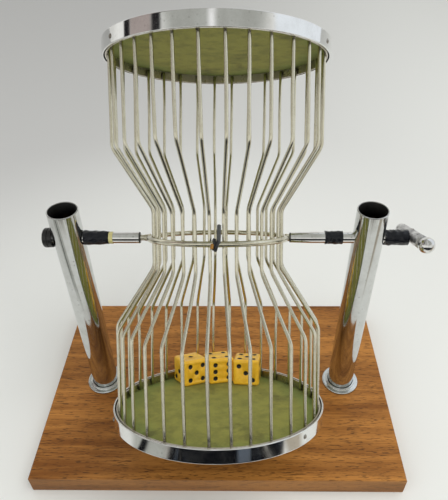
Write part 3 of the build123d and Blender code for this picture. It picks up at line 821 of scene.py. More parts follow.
def flange_material():
    """Dull plating, black with grime at the foot of its rim and against the post."""
    material, shader, surface, place = new_material("Flange plate")
    worn = place_group(
        shader,
        wear_group(),
        {"Vector": place, "Metal": (0.70, 0.72, 0.71), "Tarnish": (0.44, 0.44, 0.41), "Film": 0.35, "Pits": 0.3, "Roughness": 0.16},
    )
    parts = shader.add("ShaderNodeSeparateXYZ", {0: place}).outputs
    half_spacing = (middle("post_right").x - middle("post_left").x) / 2
    across = shader.maths("ABSOLUTE", shader.maths("SUBTRACT", shader.maths("ABSOLUTE", shader.maths("SUBTRACT", parts[0], AXLE_X)), half_spacing))
    reach = shader.maths("SQRT", shader.maths("ADD", shader.maths("POWER", across, 2.0), shader.maths("POWER", shader.maths("ABSOLUTE", parts[1]), 2.0)))
    # Painted contact shadow: black at the foot of the rim, next to the board, and in a ring against the post.
    foot = shader.between(parts[2], BOARD_TOP + 0.0005, BOARD_TOP + 0.0009, 0.95, 0.0)
    throat_shadow = shader.between(reach, POST_RADIUS + 0.0003, POST_RADIUS + 0.0007, 0.9, 0.0)
    tone = shader.mix(shader.maths("MAXIMUM", foot, throat_shadow), worn["Color"], (0.012, 0.012, 0.011))
    finish_surface(
        shader,
        surface,
        {
            "Base Color": tone,
            "Metallic": 1.0,
            "Roughness": worn["Roughness"],
            "Normal": shader.bump(worn["Height"], 0.1),
        },
    )
    return material


# Pieces of the cage

def ring_outline(outer, wall, start, end, outer_round, inner_round):
    corners = [
        (start, outer - wall, inner_round),
        (start, outer, outer_round),
        (end, outer, outer_round),
        (end, outer - wall, inner_round),
    ]
    return rounded(corners, 5, close=True)


def make_hoops():
    """Chromed hoops with rolled edges, and the plain bands inside them."""
    size = cage_sizes()
    chrome = hoop_material()
    tin = plated("Band tin", finishes().tin, (0.30, 0.27, 0.21), 0.45, 0.12, 0.26, 0.05, (1, 1, 0.25))
    for name, end in ENDS.items():
        reach = sorted((end * CAGE_END, end * (CAGE_END - size.hoop_height)))
        outline = ring_outline(HOOP_RADIUS, size.hoop_wall, *reach, 0.0005, 0.0003)
        grid = in_cage(upright(lathe(outline, 256)))
        add_mesh(name + "_outer_hoop", [grid], "cage", ["hoop_" + name], chrome)
        face = CAGE_END - size.disc_thickness
        reach = sorted((end * face, end * (face - size.band_height)))
        outline = ring_outline(BAND_RADIUS, size.band_wall, *reach, 0.0002, 0.0002)
        grid = in_cage(upright(lathe(outline, 192)))
        add_mesh(name + "_bar_band", [grid], "cage", ["inner_band_" + name], tin)


def rivet_angles(name):
    """The rivets of one hoop, found from the middle of the first head's solid."""
    first = {"top": -24.2, "bottom": -41.0}[name]
    return np.radians(first + np.arange(3) * 120.0)


def make_rivets():
    """Domed heads, each a low cap of a sphere turned about its own axis, on short shanks."""
    size = cage_sizes()
    head = size.rivet_head / 2
    ball = (head ** 2 + size.rivet_height ** 2) / (2 * size.rivet_height)
    t = np.linspace(0, math.asin(head / ball), 9)
    dome = np.stack([HOOP_RADIUS + size.rivet_height - ball * (1 - np.cos(t)), ball * np.sin(t)], axis=1)
    foot = np.array([[HOOP_RADIUS, head], [HOOP_RADIUS, 0.0008], [BAND_RADIUS - size.band_wall, 0.0008], [BAND_RADIUS - size.band_wall, 0.0]])
    grid = lathe(np.concatenate([dome, foot]), 24)
    steel = plated("Rivet steel", (0.36, 0.34, 0.30), (0.12, 0.10, 0.08), 0.8, 0.5, 0.3)
    for name, end in ENDS.items():
        height = end * (CAGE_END - size.rivet_from_end)
        grids = []
        for angle in rivet_angles(name):
            cos, sin = math.cos(angle), math.sin(angle)
            turned = np.stack([grid[..., 0] * cos - grid[..., 1] * sin, grid[..., 0] * sin + grid[..., 1] * cos, grid[..., 2] + height], axis=-1)
            grids.append(in_cage(turned))
        add_mesh(name + "_rivets", grids, "cage", ["hoop_rivets_" + name], steel)


def make_felts():
    """Two felt sheets on their discs: a disc of rings whose face rises and falls by a few hundredths."""
    size = cage_sizes()
    felt = felt_material()
    board = plain_plastic("Disc board", (0.035, 0.03, 0.022), (0.09, 0.075, 0.05), 0.6, 300.0)
    share = np.concatenate([np.linspace(0, 1, 40), [1.0, 0.0]])
    for name, end in ENDS.items():
        dress("end_disc_" + name, board)
        back = CAGE_END - size.disc_thickness
        reach = share * (FELT_RADIUS - 0.0001)
        height = np.full(len(share), end * (back - size.felt_thickness))
        height[-2:] = end * back
        grid = upright(lathe(np.stack([height, reach], axis=1), 128, hold=False))
        wave = np.sin(grid[..., 0] * 210.0 + 1.0) * np.sin(grid[..., 1] * 170.0) + np.sin(grid[..., 0] * 390.0 - grid[..., 1] * 310.0)
        inside = (np.arange(len(share)) < len(share) - 3)[:, None]
        grid[..., 2] += end * 0.00004 * (wave - 2.0) * inside
        piece = add_mesh(name + "_felt_sheet", [in_cage(grid)], "cage", ["felt_" + name], felt)


# How far the bars' feet and tops are turned from their even places, in degrees: the ones in front, then the rest
FRONT_FOOT_TURNS = (1.0, 0.5, 0.8, 1.1, 1.3, 2.5, 2.1, 0.3, -0.2, 0.5, 0.7, 0.7)
FRONT_TOP_TURNS = (-2.5, -1.8, -1.7, -2.2, -2.2, -1.2, -0.4, -1.0, -2.0, -1.4, -1.6, -1.8)
OTHER_TURNS = (0.8, -1.4)


def bar_turns():
    """The turn of each bar's foot and top, in radians."""
    rest = cage_sizes().bar_count - len(FRONT_FOOT_TURNS)
    foot = np.array(FRONT_FOOT_TURNS + (OTHER_TURNS[0],) * rest)
    top = np.array(FRONT_TOP_TURNS + (OTHER_TURNS[1],) * rest)
    return np.radians(foot), np.radians(top)


def bar_angles():
    """Even spacing with the slow drift of bars set by hand."""
    count = cage_sizes().bar_count
    turn = np.arange(count) * 360.0 / count
    drift = 1.5 * np.cos(np.radians(2 * turn)) - 2.3 * np.sin(np.radians(turn + 20.0))
    return np.radians(-150.0 + turn + drift)


def bar_line(wander):
    """One bar's middle line as (radius, height): drum, cone, waist, cone, drum, with round bends."""
    size = cage_sizes()
    drum = BAND_RADIUS - size.band_wall - 0.00005 - size.bar_diameter / 2
    waist = size.waist_diameter / 2
    tip = CAGE_END - size.disc_thickness - size.felt_thickness - size.bar_end_gap
    outer = size.drum_bends / 2 + wander[:2]
    inner = size.waist_bends / 2 + wander[2:4]
    bend = size.bend_radius
    corners = [
        (drum, -tip, 0),
        (drum, -outer[0], bend),
        (waist, -inner[0], bend),
        (waist, inner[1], bend),
        (drum, outer[1], bend),
        (drum, tip, 0),
    ]
    return rounded(corners, 10)


def fine_line(line, step):
    """The same line with extra points, so that no run is longer than about step."""
    runs = np.linalg.norm(np.diff(line, axis=0), axis=1)
    along = np.concatenate([[0], np.cumsum(runs)])
    extra = np.arange(0, along[-1], step)
    places = np.unique(np.round(np.concatenate([along, extra]), 6))
    return np.stack([np.interp(places, along, line[:, i]) for i in range(line.shape[1])], axis=1)


def make_bars():
    """Bent bars: a round tube along each bar's line, which lies in a plane through the cage's axis."""
    size = cage_sizes()
    nickel = nickel_material()
    chance = np.random.default_rng(31)
    foot, top = bar_turns()
    for i, middle_angle in enumerate(bar_angles()):
        line = fine_line(bar_line(chance.uniform(-0.0008, 0.0008, 4)), 0.012)
        angle = middle_angle + (foot[i] + top[i]) / 2 + (top[i] - foot[i]) / 2 * line[:, 1] / CAGE_END
        sway = 0.00022 * np.sin(line[:, 1] * chance.uniform(40, 75) + chance.uniform(0, TAU))
        quiet = np.clip((CAGE_END - 0.012 - np.abs(line[:, 1])) / 0.02, 0, 1) * np.clip((np.abs(line[:, 1]) - 0.01) / 0.02, 0, 1)
        radius = line[:, 0] - np.abs(sway) * quiet
        side = sway * quiet
        cos, sin = np.cos(angle), np.sin(angle)
        path = np.stack([radius * cos - side * sin, radius * sin + side * cos, line[:, 1]], axis=1)
        grid = tube_along(path, np.stack([-sin, cos, 0 * cos], axis=1), size.bar_diameter / 2, 18)
        pair = "bar_pair_%02d" % (i // 2 + 1)
        add_mesh("bar_%02d" % (i + 1), [in_cage(grid)], "cage", [pair], nickel)


def make_solder():
    """A small flattened bead where each bar meets its band, half sunk between the two."""
    size = cage_sizes()
    t = np.linspace(0, math.pi, 9)
    ball = lathe(np.stack([-np.cos(t), np.sin(t)], axis=1), 14, hold=False)
    solder = plated("Solder", (0.30, 0.28, 0.22), (0.07, 0.06, 0.04), 0.9, 0.6, 0.4, 0.4)
    chance = np.random.default_rng(7)
    radius = BAND_RADIUS - size.band_wall - 0.0006
    for name, end in ENDS.items():
        grids = []
        turns = bar_turns()[0 if end < 0 else 1]
        for angle in bar_angles() + turns:
            width, tall = chance.uniform(0.0014, 0.0019), chance.uniform(0.0018, 0.0028)
            bead = ball * np.array([0.0011, width, tall])
            height = end * (CAGE_END - 0.0075 - chance.uniform(0, 0.0008))
            x = radius + bead[..., 0]
            cos, sin = math.cos(angle), math.sin(angle)
            grids.append(in_cage(np.stack([x * cos - bead[..., 1] * sin, x * sin + bead[..., 1] * cos, bead[..., 2] + height], axis=-1)))
        add_mesh(name + "_bar_solder", grids, "cage", (), solder)


def ring_radius():
    size = cage_sizes()
    return size.waist_diameter / 2 + size.bar_diameter / 2 + 0.00005 + size.ring_wire / 2


def make_ring():
    """The waist ring: a circle of radius R carries a circle of radius r, which swells by a hair here and there."""
    size = cage_sizes()
    big = np.linspace(0, TAU, 257)[:, None]
    small = np.linspace(0, TAU, 28, endpoint=False)[None]
    wire = size.ring_wire / 2 * (1 + 0.012 * np.sin(5 * big + 0.6) * np.sin(small))
    reach = ring_radius() + wire * np.cos(small)
    grid = np.stack([reach * np.cos(big), reach * np.sin(big), wire * np.sin(small) + 0 * big], axis=-1)
    look = finishes()
    worn = plated("Ring nickel", look.nickel, look.tarnish, 0.35, 0.5, 0.16, 0.06)
    add_mesh("round_waist_ring", [in_cage(grid)], "cage", ["waist_ring"], worn)
    beads = []
    for side in SIDES.values():
        profile = rounded([(0.0, 0.0, 0), (0.0, 0.0029, 0.0008), (0.0052, size.ring_wire / 2 + 0.0002, 0.001), (0.0056, 0.0, 0)], 4)
        bead = ripple(lathe(profile, 32), 4 + side, 0.00025, 1400.0)
        beads.append(on_axle((bead + np.array([ring_radius() - 0.0008, 0, 0])) * np.array([side, 1, 1])))
    add_mesh("ring_welds", beads, "cage", (), worn)


# Pieces on the axle

def make_axle():
    """Rods and sleeves turned about the axle, the right sleeve with a swaged tip."""
    size = axle_sizes()
    look = finishes()
    rod = size.rod_diameter / 2
    sleeve = size.sleeve_diameter / 2
    edge = size.sleeve_edge
    bright = plated("Rod nickel", (0.72, 0.69, 0.58), look.tarnish, 0.4, 0.4, 0.14)
    chrome = sleeve_material()
    for name, side in SIDES.items():
        low, high = axle_reach("axle_rod_" + name)
        far = max(abs(low), abs(high))
        profile = rounded([(ring_radius(), 0, 0), (ring_radius(), rod, 0), (far, rod, 0.0003), (far, 0, 0)], 3)
        grid = on_axle(lathe(profile, 40) * np.array([side, 1, 1]))
        add_mesh(name + "_ring_rod", [grid], "cage", ["axle_rod_" + name], bright)
    low, high = axle_reach("axle_tube_left")
    profile = rounded([(low, rod, 0), (low, sleeve, edge), (high, sleeve, edge), (high, rod, 0)], 5, close=True)
    add_mesh("left_sleeve", [on_axle(lathe(profile, 96))], "cage", ["axle_tube_left"], chrome)
    low, high = axle_reach("axle_tube_right")
    tip = sleeve - size.swage
    corners = [(low, rod, 0), (low, tip, edge), (low + size.taper, sleeve, 0.02), (high, sleeve, 0.0002), (high, rod, 0)]
    add_mesh("right_sleeve", [on_axle(lathe(rounded(corners, 8, close=True), 96))], "cage", ["axle_tube_right"], chrome)


def sleeve_material():
    """Chrome sleeves with grime burnt on at the ends that face the ring."""
    look = finishes()
    material, shader, surface, place = new_material("Sleeve chrome")
    worn = place_group(
        shader,
        wear_group(),
        {"Vector": place, "Metal": look.chrome, "Tarnish": (0.40, 0.37, 0.31), "Film": 0.3, "Pits": 0.4, "Roughness": 0.05},
    )
    x = shader.add("ShaderNodeSeparateXYZ", {0: place}).outputs[0]
    left_tip = AXLE_X + axle_reach("axle_tube_left")[1]
    right_tip = AXLE_X + axle_reach("axle_tube_right")[0]
    from_left = shader.maths("ABSOLUTE", shader.maths("SUBTRACT", x, left_tip))
    from_right = shader.maths("ABSOLUTE", shader.maths("SUBTRACT", x, right_tip))
    # Painted shade with grime: a dark ring at the sleeve ends that face the ring, where the rods go in.
    near = shader.between(shader.maths("MINIMUM", from_left, from_right), 0.0006, 0.0012, 0.92, 0.0)
    tone = shader.mix(near, worn["Color"], (0.03, 0.03, 0.03))
    finish_surface(
        shader,
        surface,
        {
            "Base Color": tone,
            "Metallic": 1.0,
            "Roughness": shader.maths("ADD", worn["Roughness"], shader.maths("MULTIPLY", near, 0.25)),
            "Normal": shader.bump(worn["Height"], 0.1),
        },
    )
    return material


def wound_tape(low, high, start, end, turns, seed):
    """Tape wound on the sleeve: the radius steps down by a tape's thickness once each turn along a helix, over
    a slope from start to end, with creases from seeded sines."""
    along = np.linspace(low, high, 140)[:, None]
    t = np.linspace(0, TAU, 96, endpoint=False)[None]
    share = (along - low) / (high - low)
    phase = share * turns + t / TAU
    step = 1 - (phase - np.floor(phase))
    lip = np.clip((1 - step) * 14, 0, 1)
    chance = np.random.default_rng(seed)
    creases = np.zeros_like(along * t)
    for _ in range(9):
        a, b, c = chance.uniform(250, 1500), chance.integers(-5, 6), chance.uniform(0, TAU)
        creases = creases + np.sin(along * a + b * t + c)
    radius = start + (end - start) * share + 0.00022 * step * lip + 0.00006 * creases
    grid = np.stack([along + 0 * t, radius * np.cos(t), radius * np.sin(t)], axis=-1)
    bore = axle_sizes().sleeve_diameter / 2
    first = np.stack([low + 0 * t[0], bore * np.cos(t[0]), bore * np.sin(t[0])], axis=-1)[None]
    last = first + np.array([high - low, 0, 0])
    return np.concatenate([first, grid, last, first])


def make_tapes():
    """The wound tapes, the bare adhesive beyond the left one, and the band in the middle of the right sleeve."""
    size = axle_sizes()
    look = finishes()
    tape = tape_material()
    sleeve = size.sleeve_diameter / 2
    low, high = axle_reach("tape_wrap_left")
    wound = wound_tape(low, high, sleeve + 0.0013, sleeve + 0.0005, 3.3, 2)
    add_mesh("left_tape", [on_axle(wound)], "cage", ["tape_wrap_left"], tape)
    low, high = axle_reach("tape_wrap_right")
    wound = wound_tape(low, high, sleeve + 0.00145, sleeve + 0.0015, 2.4, 5)
    add_mesh("right_tape", [on_axle(wound)], "cage", ["tape_wrap_right"], tape)
    low, high = axle_reach("tape_band_right")
    wound = wound_tape(low, high, sleeve + 0.0006, sleeve + 0.0006, 1.2, 9)
    add_mesh("middle_tape_band", [on_axle(wound)], "cage", ["tape_band_right"], tape)
    low, high = axle_reach("tape_strip_left")
    corners = [(low, sleeve, 0), (low, sleeve + 0.00035, 0.0001), (high, sleeve + 0.0003, 0.0002), (high, sleeve, 0)]
    strip = ripple(lathe(fine_line(rounded(corners, 3, close=True), 0.0004), 72), 3, 0.00008, 1500.0)
    glue = plain_plastic("Old adhesive", look.adhesive, (0.30, 0.24, 0.08), 0.45, 380.0)
    add_mesh("left_adhesive_strip", [on_axle(strip)], "cage", ["tape_strip_left"], glue)


def make_cap():
    """The moulded cap: face, rounded rim, side with a groove, one outline turned about the axle."""
    low, high = axle_reach("axle_cap")
    radius = (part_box("axle_cap")[1].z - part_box("axle_cap")[0].z) / 2
    groove = high - 0.0029
    bore = axle_sizes().sleeve_diameter / 2
    corners = [
        (high, bore, 0),
        (high, radius - 0.0002, 0.0003),
        (groove + 0.0004, radius - 0.0001, 0.0002),
        (groove + 0.0003, radius - 0.0006, 0.0001),
        (groove - 0.0003, radius - 0.0006, 0.0001),
        (groove - 0.0004, radius, 0.0002),
        (low, radius, 0.0015),
        (low, radius * 0.62, 0.0004),
        (low + 0.0003, radius * 0.56, 0.0003),
        (low + 0.0003, 0, 0),
    ]
    look = finishes()
    moulded = plain_plastic("Moulded cap", look.cap, (0.04, 0.04, 0.038), 0.36, 260.0)
    add_mesh("grooved_cap", [on_axle(lathe(rounded(corners, 5), 96))], "cage", ["axle_cap"], moulded)


def handle_frame():
    """The handle's middle and its direction towards the player, read from its solid's box."""
    low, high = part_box("handle_bar")
    centre_x = (low.x + high.x) / 2
    size = axle_sizes()
    knob = middle("handle_knob")
    away = np.array([0.0, knob.y, knob.z - AXLE_Z])
    away /= np.linalg.norm(away)
    return np.array([centre_x, 0.0, AXLE_Z]), away, size


def on_handle(grid):
    centre, away, _ = handle_frame()
    side = np.array([1.0, 0, 0])
    third = np.cross(away, side)
    return centre + grid[..., :1] * away + grid[..., 1:2] * side + grid[..., 2:3] * third


def make_handle():
    """The bar with its domed back end, and the ball on its neck, each turned about the handle's line."""
    size = axle_sizes()
    front = size.handle_diameter / 2
    tip = size.handle_tip / 2
    t = np.linspace(0, math.pi / 2, 14)
    dome = np.stack([-size.handle_back + tip * (1 - np.cos(t)), tip * np.sin(t)], axis=1)
    rest = rounded([(dome[-1, 0], tip, 0), (size.handle_front, front, 0.001), (size.handle_front, 0, 0)], 5)
    profile = fine_line(np.concatenate([dome, rest[1:]]), 0.0015)
    bar = ripple(lathe(profile - np.array([0, 0.00003]) * (profile[:, 1:] > 0.001), 72), 11, 0.00002, 500.0)
    chrome = handle_material()
    add_mesh("handle_crossbar", [on_handle(bar)], "cage", ["handle_bar"], chrome)
    ball = size.knob_diameter / 2
    neck = size.knob_neck / 2
    start = math.asin(neck / ball)
    t = np.linspace(math.pi - start, 0, 40)
    dome = np.stack([size.knob_centre + ball * np.cos(t), ball * np.sin(t)], axis=1)
    stem = np.array([[size.handle_front - 0.001, 0.0], [size.handle_front - 0.001, neck], [dome[0, 0], neck]])
    knob = lathe(np.concatenate([stem, dome]), 72)
    add_mesh("handle_ball", [on_handle(knob)], "cage", ["handle_knob"], ball_material())
    dress("handle_grub_screw", plated("Rusted screw", (0.20, 0.13, 0.08), (0.07, 0.035, 0.015), 0.9, 0.8, 0.5))


def handle_material():
    """Chrome clouded by hands, with a brown stain round the grub screw."""
    look = finishes()
    material, shader, surface, place = new_material("Handle chrome")
    worn = place_group(
        shader,
        wear_group(),
        {"Vector": place, "Metal": look.chrome, "Tarnish": (0.40, 0.39, 0.40), "Film": 1.0, "Pits": 0.9, "Roughness": 0.16},
    )
    grub = middle("handle_grub_screw")
    reach = shader.add("ShaderNodeVectorMath", {0: place, 1: tuple(grub)}, operation="DISTANCE").outputs["Value"]
    uneven = shader.maths("MULTIPLY", shader.noise(place, 300.0), 0.003)
    stain = shader.between(shader.maths("ADD", reach, uneven), 0.0035, 0.006, 0.6, 0.0)
    tone = shader.mix(stain, worn["Color"], (0.30, 0.17, 0.09))
    cloud = shader.between(shader.noise(place, 60.0, 4.0), 0.3, 0.7, 0.0, 0.25)
    finish_surface(
        shader,
        surface,
        {
            "Base Color": tone,
            "Metallic": 1.0,
            "Roughness": shader.maths("ADD", worn["Roughness"], cloud),
            "Normal": shader.bump(worn["Height"], 0.2),
        },
    )
    return material


def ball_material():
    look = finishes()
    return plated("Ball chrome", look.chrome, (0.45, 0.44, 0.42), 0.35, 0.9, 0.06, 0.12)


def make_tie():
    """The insulated wire: a loop round the ring beside a bar, a flat strand that stands up from it, and the cut end."""
    size = cage_sizes()
    wire = axle_sizes().tie_wire / 2
    angle = math.radians(-90 + TIE_TURN)
    inside = ring_radius() - size.ring_wire / 2 - wire
    outside = ring_radius() + size.ring_wire / 2 + wire
    half_long = (outside - inside) / 2
    half_tall = size.ring_wire / 2 + wire
    corners = [
        (-half_long, -half_tall, half_tall * 0.8),
        (half_long, -half_tall, half_tall * 0.8),
        (half_long, half_tall, half_tall * 0.8),
        (-half_long, half_tall, half_tall * 0.8),
    ]
    flat = rounded(corners, 10, close=True)
    loop = np.stack([(inside + outside) / 2 + flat[:, 0], flat[:, 0] * 0.15 + flat[:, 1] * 0.10 - 0.0012, flat[:, 1]], axis=1)
    loop = fine_line(loop, 0.0005)
    knots = np.array([[outside - 0.0012, 0.0018, half_tall * 0.9], [outside + 0.0004, 0.0013, half_tall * 0.3], [outside + 0.0005, 0.0003, -half_tall * 0.7], [outside - 0.0008, -0.0002, -half_tall * 1.25]])
    t = np.linspace(0, 1, 30)
    knot = np.stack([np.interp(t, np.linspace(0, 1, 4), knots[:, i]) for i in range(3)], axis=1)
    for _ in range(12):
        knot[1:-1] = (knot[:-2] + 2 * knot[1:-1] + knot[2:]) / 4
    t = np.linspace(0, 1, 24)[:, None]
    rise = np.array([outside - 0.0009, 0.0019, half_tall * 0.5]) + t * np.array([-0.0022, 0.0003, 0.0106]) + np.sin(t * math.pi) * np.array([0.0003, 0.0001, 0])
    strand = tube_along(rise, np.array([0.0, 1.0, 0.0]), wire * (1.3 - 0.08 * t[:, 0]), 20)
    cos, sin = math.cos(angle), math.sin(angle)

    def turn(grid):
        return in_cage(np.stack([grid[..., 0] * cos - grid[..., 1] * sin, grid[..., 0] * sin + grid[..., 1] * cos, grid[..., 2]], axis=-1))

    black = plain_plastic("Tie insulation", (0.010, 0.010, 0.011), (0.05, 0.05, 0.05), 0.36, 700.0)
    grey = plain_plastic("Tie strand", (0.05, 0.052, 0.052), (0.12, 0.125, 0.12), 0.55, 900.0)
    parts = [
        tube_along(loop, np.array([0.0, 1.0, 0.0]), wire, 20, round_ends=False),
        tube_along(knot, np.array([0.0, 1.0, 0.0]), wire * 1.1, 18),
    ]
    add_mesh("tie_loop", [turn(part) for part in parts], "cage", ["wire_tie"], black)
    add_mesh("tie_strand", [turn(strand)], "cage", ["wire_tie"], grey)
    stub = np.array([outside + 0.0002, -0.0020, 0.0002]) + np.linspace(0, 1, 8)[:, None] * np.array([0.0010, -0.0003, -0.0024])
    end = tube_along(stub, np.array([0.0, 1.0, 0.0]), wire * 1.02, 20)
    copper = plated("Cut copper", finishes().copper, (0.35, 0.16, 0.05), 0.4, 0.2, 0.3)
    add_mesh("tie_copper_end", [turn(end)], "cage", ["wire_tie"], copper)


# Where the tie stands on the ring, in degrees from the front
TIE_TURN = 0.6


def make_dice():
    """Amber dice from their solids' own meshes, merged, with paint in the drilled pips."""
    amber = amber_material()
    paint = plain_plastic("Pip paint", finishes().pip, (0.03, 0.028, 0.025), 0.3, 900.0)
    for name in ("left", "middle", "right"):
        node = "die_" + name
        mesh = frame["nodes"][node].data.copy()
        mesh.materials.clear()
        tidy(mesh)
        piece = add_piece(name + "_amber_die", mesh, node, [node], amber, 32.0)
        mesh.materials.append(paint)
        count = len(mesh.polygons)
        centres = np.empty(count * 3, np.float32)
        mesh.polygons.foreach_get("center", centres)
        centres = centres.reshape(-1, 3) - np.array(middle(node))
        axes = die_axes(mesh)
        local = np.abs(centres @ axes.T)
        half = local.max()
        deep = (local.max(1) < half - 0.00006) & (np.sort(local, axis=1)[:, 1] < half - 0.0021)
        mesh.polygons.foreach_set("material_index", deep.astype(np.int32))
        piece.data.update()


def die_axes(mesh):
    """The three face directions of a die, from its three largest groups of face normals."""
    count = len(mesh.polygons)
    normals = np.empty(count * 3, np.float32)
    areas = np.empty(count, np.float32)
    mesh.polygons.foreach_get("normal", normals)
    mesh.polygons.foreach_get("area", areas)
    normals = normals.reshape(-1, 3)
    first = normals[np.argmax(areas)]
    square = np.abs(normals @ first) < 0.01
    second = normals[np.argmax(areas * square)]
    return np.stack([first, second, np.cross(first, second)])


# Studio

def hide_from_all_but_gloss(piece):
    piece.visible_camera = False
    piece.visible_diffuse = False
    piece.visible_transmission = False
    piece.visible_shadow = False
    piece.visible_volume_scatter = False


def product(shader, values):
    """The values multiplied together."""
    whole = values[0]
    for value in values[1:]:
        whole = shader.maths("MULTIPLY", whole, value, clamp=True)
    return whole


def make_reflection_card():
    """A card over the floor in front that only gloss sees: dark further out, with soft edges and streaks."""
    mesh = bpy.data.meshes.new("dark floor card")
    mesh.from_pydata([(-4, -6, 0.003), (4, -6, 0.003), (4, -0.12, 0.003), (-4, -0.12, 0.003)], [], [(0, 1, 2, 3)])
    piece = bpy.data.objects.new("dark floor card", mesh)
    bpy.context.scene.collection.objects.link(piece)
    material = bpy.data.materials.new("Dark floor card")
    material.use_nodes = True
    tree = material.node_tree
    tree.nodes.clear()
    shader = Shader(tree)
    place = shader.add("ShaderNodeTexCoord").outputs["Object"]
    parts = shader.add("ShaderNodeSeparateXYZ", {0: place}).outputs
    away = shader.maths("MULTIPLY", parts[1], -1.0)
    left = shader.maths("ADD", parts[0], shader.maths("MULTIPLY_ADD", away, 0.82, 0.07))
    right = shader.maths("SUBTRACT", shader.maths("MULTIPLY_ADD", away, 2.5, -0.36), parts[0])
    azimuth = shader.maths("DIVIDE", parts[0], shader.maths("ADD", away, 0.12))
    streak = shader.add("ShaderNodeTexNoise", {"W": azimuth, "Scale": 7.0, "Detail": 3.0, "Roughness": 0.6}, noise_dimensions="1D").outputs["Fac"]
    near = shader.maths("ADD", away, shader.maths("MULTIPLY", streak, 0.16))
    dark = product(
        shader,
        [
            shader.between(near, 0.34, 0.46),
            shader.between(left, -0.04, 0.06),
            shader.between(right, -0.05, 0.06),
            shader.between(streak, 0.30, 0.45, 0.7, 1.0),
        ],
    )
    slope = shader.maths("DIVIDE", parts[0], away)
    line = product(shader, [shader.between(slope, -1.60, -1.54), shader.between(slope, -1.40, -1.32, 1.0, 0.0)])
    far_left = shader.between(slope, -0.98, -0.84, 1.0, 0.0)
    far_right = shader.between(slope, 1.25, 1.45)
    patch = shader.between(streak, 0.55, 0.68)
    tone = shader.mix(far_left, (0.42, 0.36, 0.27), (0.42, 0.43, 0.39))
    tone = shader.mix(line, tone, (0.004, 0.004, 0.006))
    tone = shader.mix(dark, tone, shader.mix(patch, (0.002, 0.0025, 0.004), (0.09, 0.11, 0.14)))
    side = shader.maths("MULTIPLY", shader.maths("MAXIMUM", far_left, far_right), 0.85)
    strong = shader.maths("MAXIMUM", dark, line)
    cover = product(shader, [shader.maths("MAXIMUM", strong, side), shader.between(away, 0.12, 0.17)])
    light = shader.add("ShaderNodeEmission", {"Color": tone, "Strength": 1.0})
    clear = shader.add("ShaderNodeBsdfTransparent")
    both = shader.add("ShaderNodeMixShader", {0: cover, 1: clear.outputs[0], 2: light.outputs[0]})
    output = shader.add("ShaderNodeOutputMaterial")
    tree.links.new(both.outputs[0], output.inputs[0])
    mesh.materials.append(material)
    hide_from_all_but_gloss(piece)


def make_floor():
    """A wide pale floor, a little darker further out at the left."""
    look = studio()
    mesh = bpy.data.meshes.new("floor")
    far = 6.0
    mesh.from_pydata([(-far, -far, 0), (far, -far, 0), (far, far, 0), (-far, far, 0)], [], [(0, 1, 2, 3)])
    floor = bpy.data.objects.new("floor", mesh)
    bpy.context.scene.collection.objects.link(floor)
    material, shader, surface, place = new_material("Pale floor")
    reach = shader.add("ShaderNodeVectorMath", {0: place}, operation="LENGTH").outputs["Value"]
    x = shader.add("ShaderNodeSeparateXYZ", {0: place}).outputs[0]
    # Painted shade: the floor darkens further out at the left.
    far_shade_tone = shader.mix(shader.between(x, -0.3, 0.6), look.far_floor_shade, look.floor)
    tone = shader.mix(shader.between(reach, 0.2, 0.6), look.floor, far_shade_tone)
    finish_surface(shader, surface, {"Base Color": tone, "Roughness": 0.7, "Specular IOR Level": 0.2})
    mesh.materials.append(material)


def room_tone(shader):
    """What gloss sees of the room, by direction: a grey ceiling with a soft bright lamp, a bright band half way up
    the wall in front, a dark band low down there, dark upright bands at the left, and a bright window at the right."""
    way = shader.add("ShaderNodeTexCoord").outputs["Generated"]
    x, y, z = shader.add("ShaderNodeSeparateXYZ", {0: way}).outputs
    front = shader.maths("MULTIPLY", y, -1.0)
    cage_front = shader.add("ShaderNodeVectorMath", {0: way, 1: tuple(-CAGE_BACK)}, operation="DOT_PRODUCT").outputs["Value"]
    level = shader.add("ShaderNodeVectorMath", {0: way, 1: tuple(CAGE_UP)}, operation="DOT_PRODUCT").outputs["Value"]
    turn = shader.maths("ARCTAN2", x, cage_front)
    upper = shader.between(level, 0.05, 0.15)
    cloud = shader.noise(way, 3.0, 3.0, 0.5)
    tone = shader.mix(shader.between(z, 0.50, 0.66), (0.90, 0.90, 0.87), (0.46, 0.47, 0.44))
    tone = shader.mix(shader.between(cloud, 0.4, 0.65, 0.0, 0.3), tone, (0.32, 0.32, 0.29))

    def upright(low, high, soft):
        return product(shader, [upper, shader.between(turn, low - soft, low + soft), shader.between(turn, high - soft, high + soft, 1.0, 0.0)])

    tone = shader.mix(upright(-0.09, 0.01, 0.06), tone, (1.0, 1.0, 1.0))
    tone = shader.mix(upright(1.01, 2.2, 0.06), tone, (0.90, 0.95, 1.0))
    tone = shader.mix(upright(-1.52, -1.07, 0.03), tone, (0.42, 0.36, 0.34))
    tone = shader.mix(upright(-1.67, -1.52, 0.02), tone, (0.015, 0.014, 0.016))
    tone = shader.mix(upright(-1.07, -0.89, 0.03), tone, (0.015, 0.014, 0.016))
    azimuth = shader.maths("DIVIDE", x, shader.maths("MAXIMUM", front, 0.05))
    low = [
        shader.between(front, 0.25, 0.45),
        shader.between(level, -0.43, -0.40, 1.0, 0.0),
        shader.between(azimuth, -1.1, -0.8),
        shader.between(azimuth, 1.2, 1.6, 1.0, 0.0),
    ]
    gap = product(shader, [shader.between(azimuth, 0.30, 0.38), shader.between(azimuth, 0.55, 0.62, 1.0, 0.0)])
    shade = shader.mix(gap, (0.002, 0.0025, 0.004), (0.10, 0.12, 0.15))
    return shader.mix(product(shader, low), tone, shade)


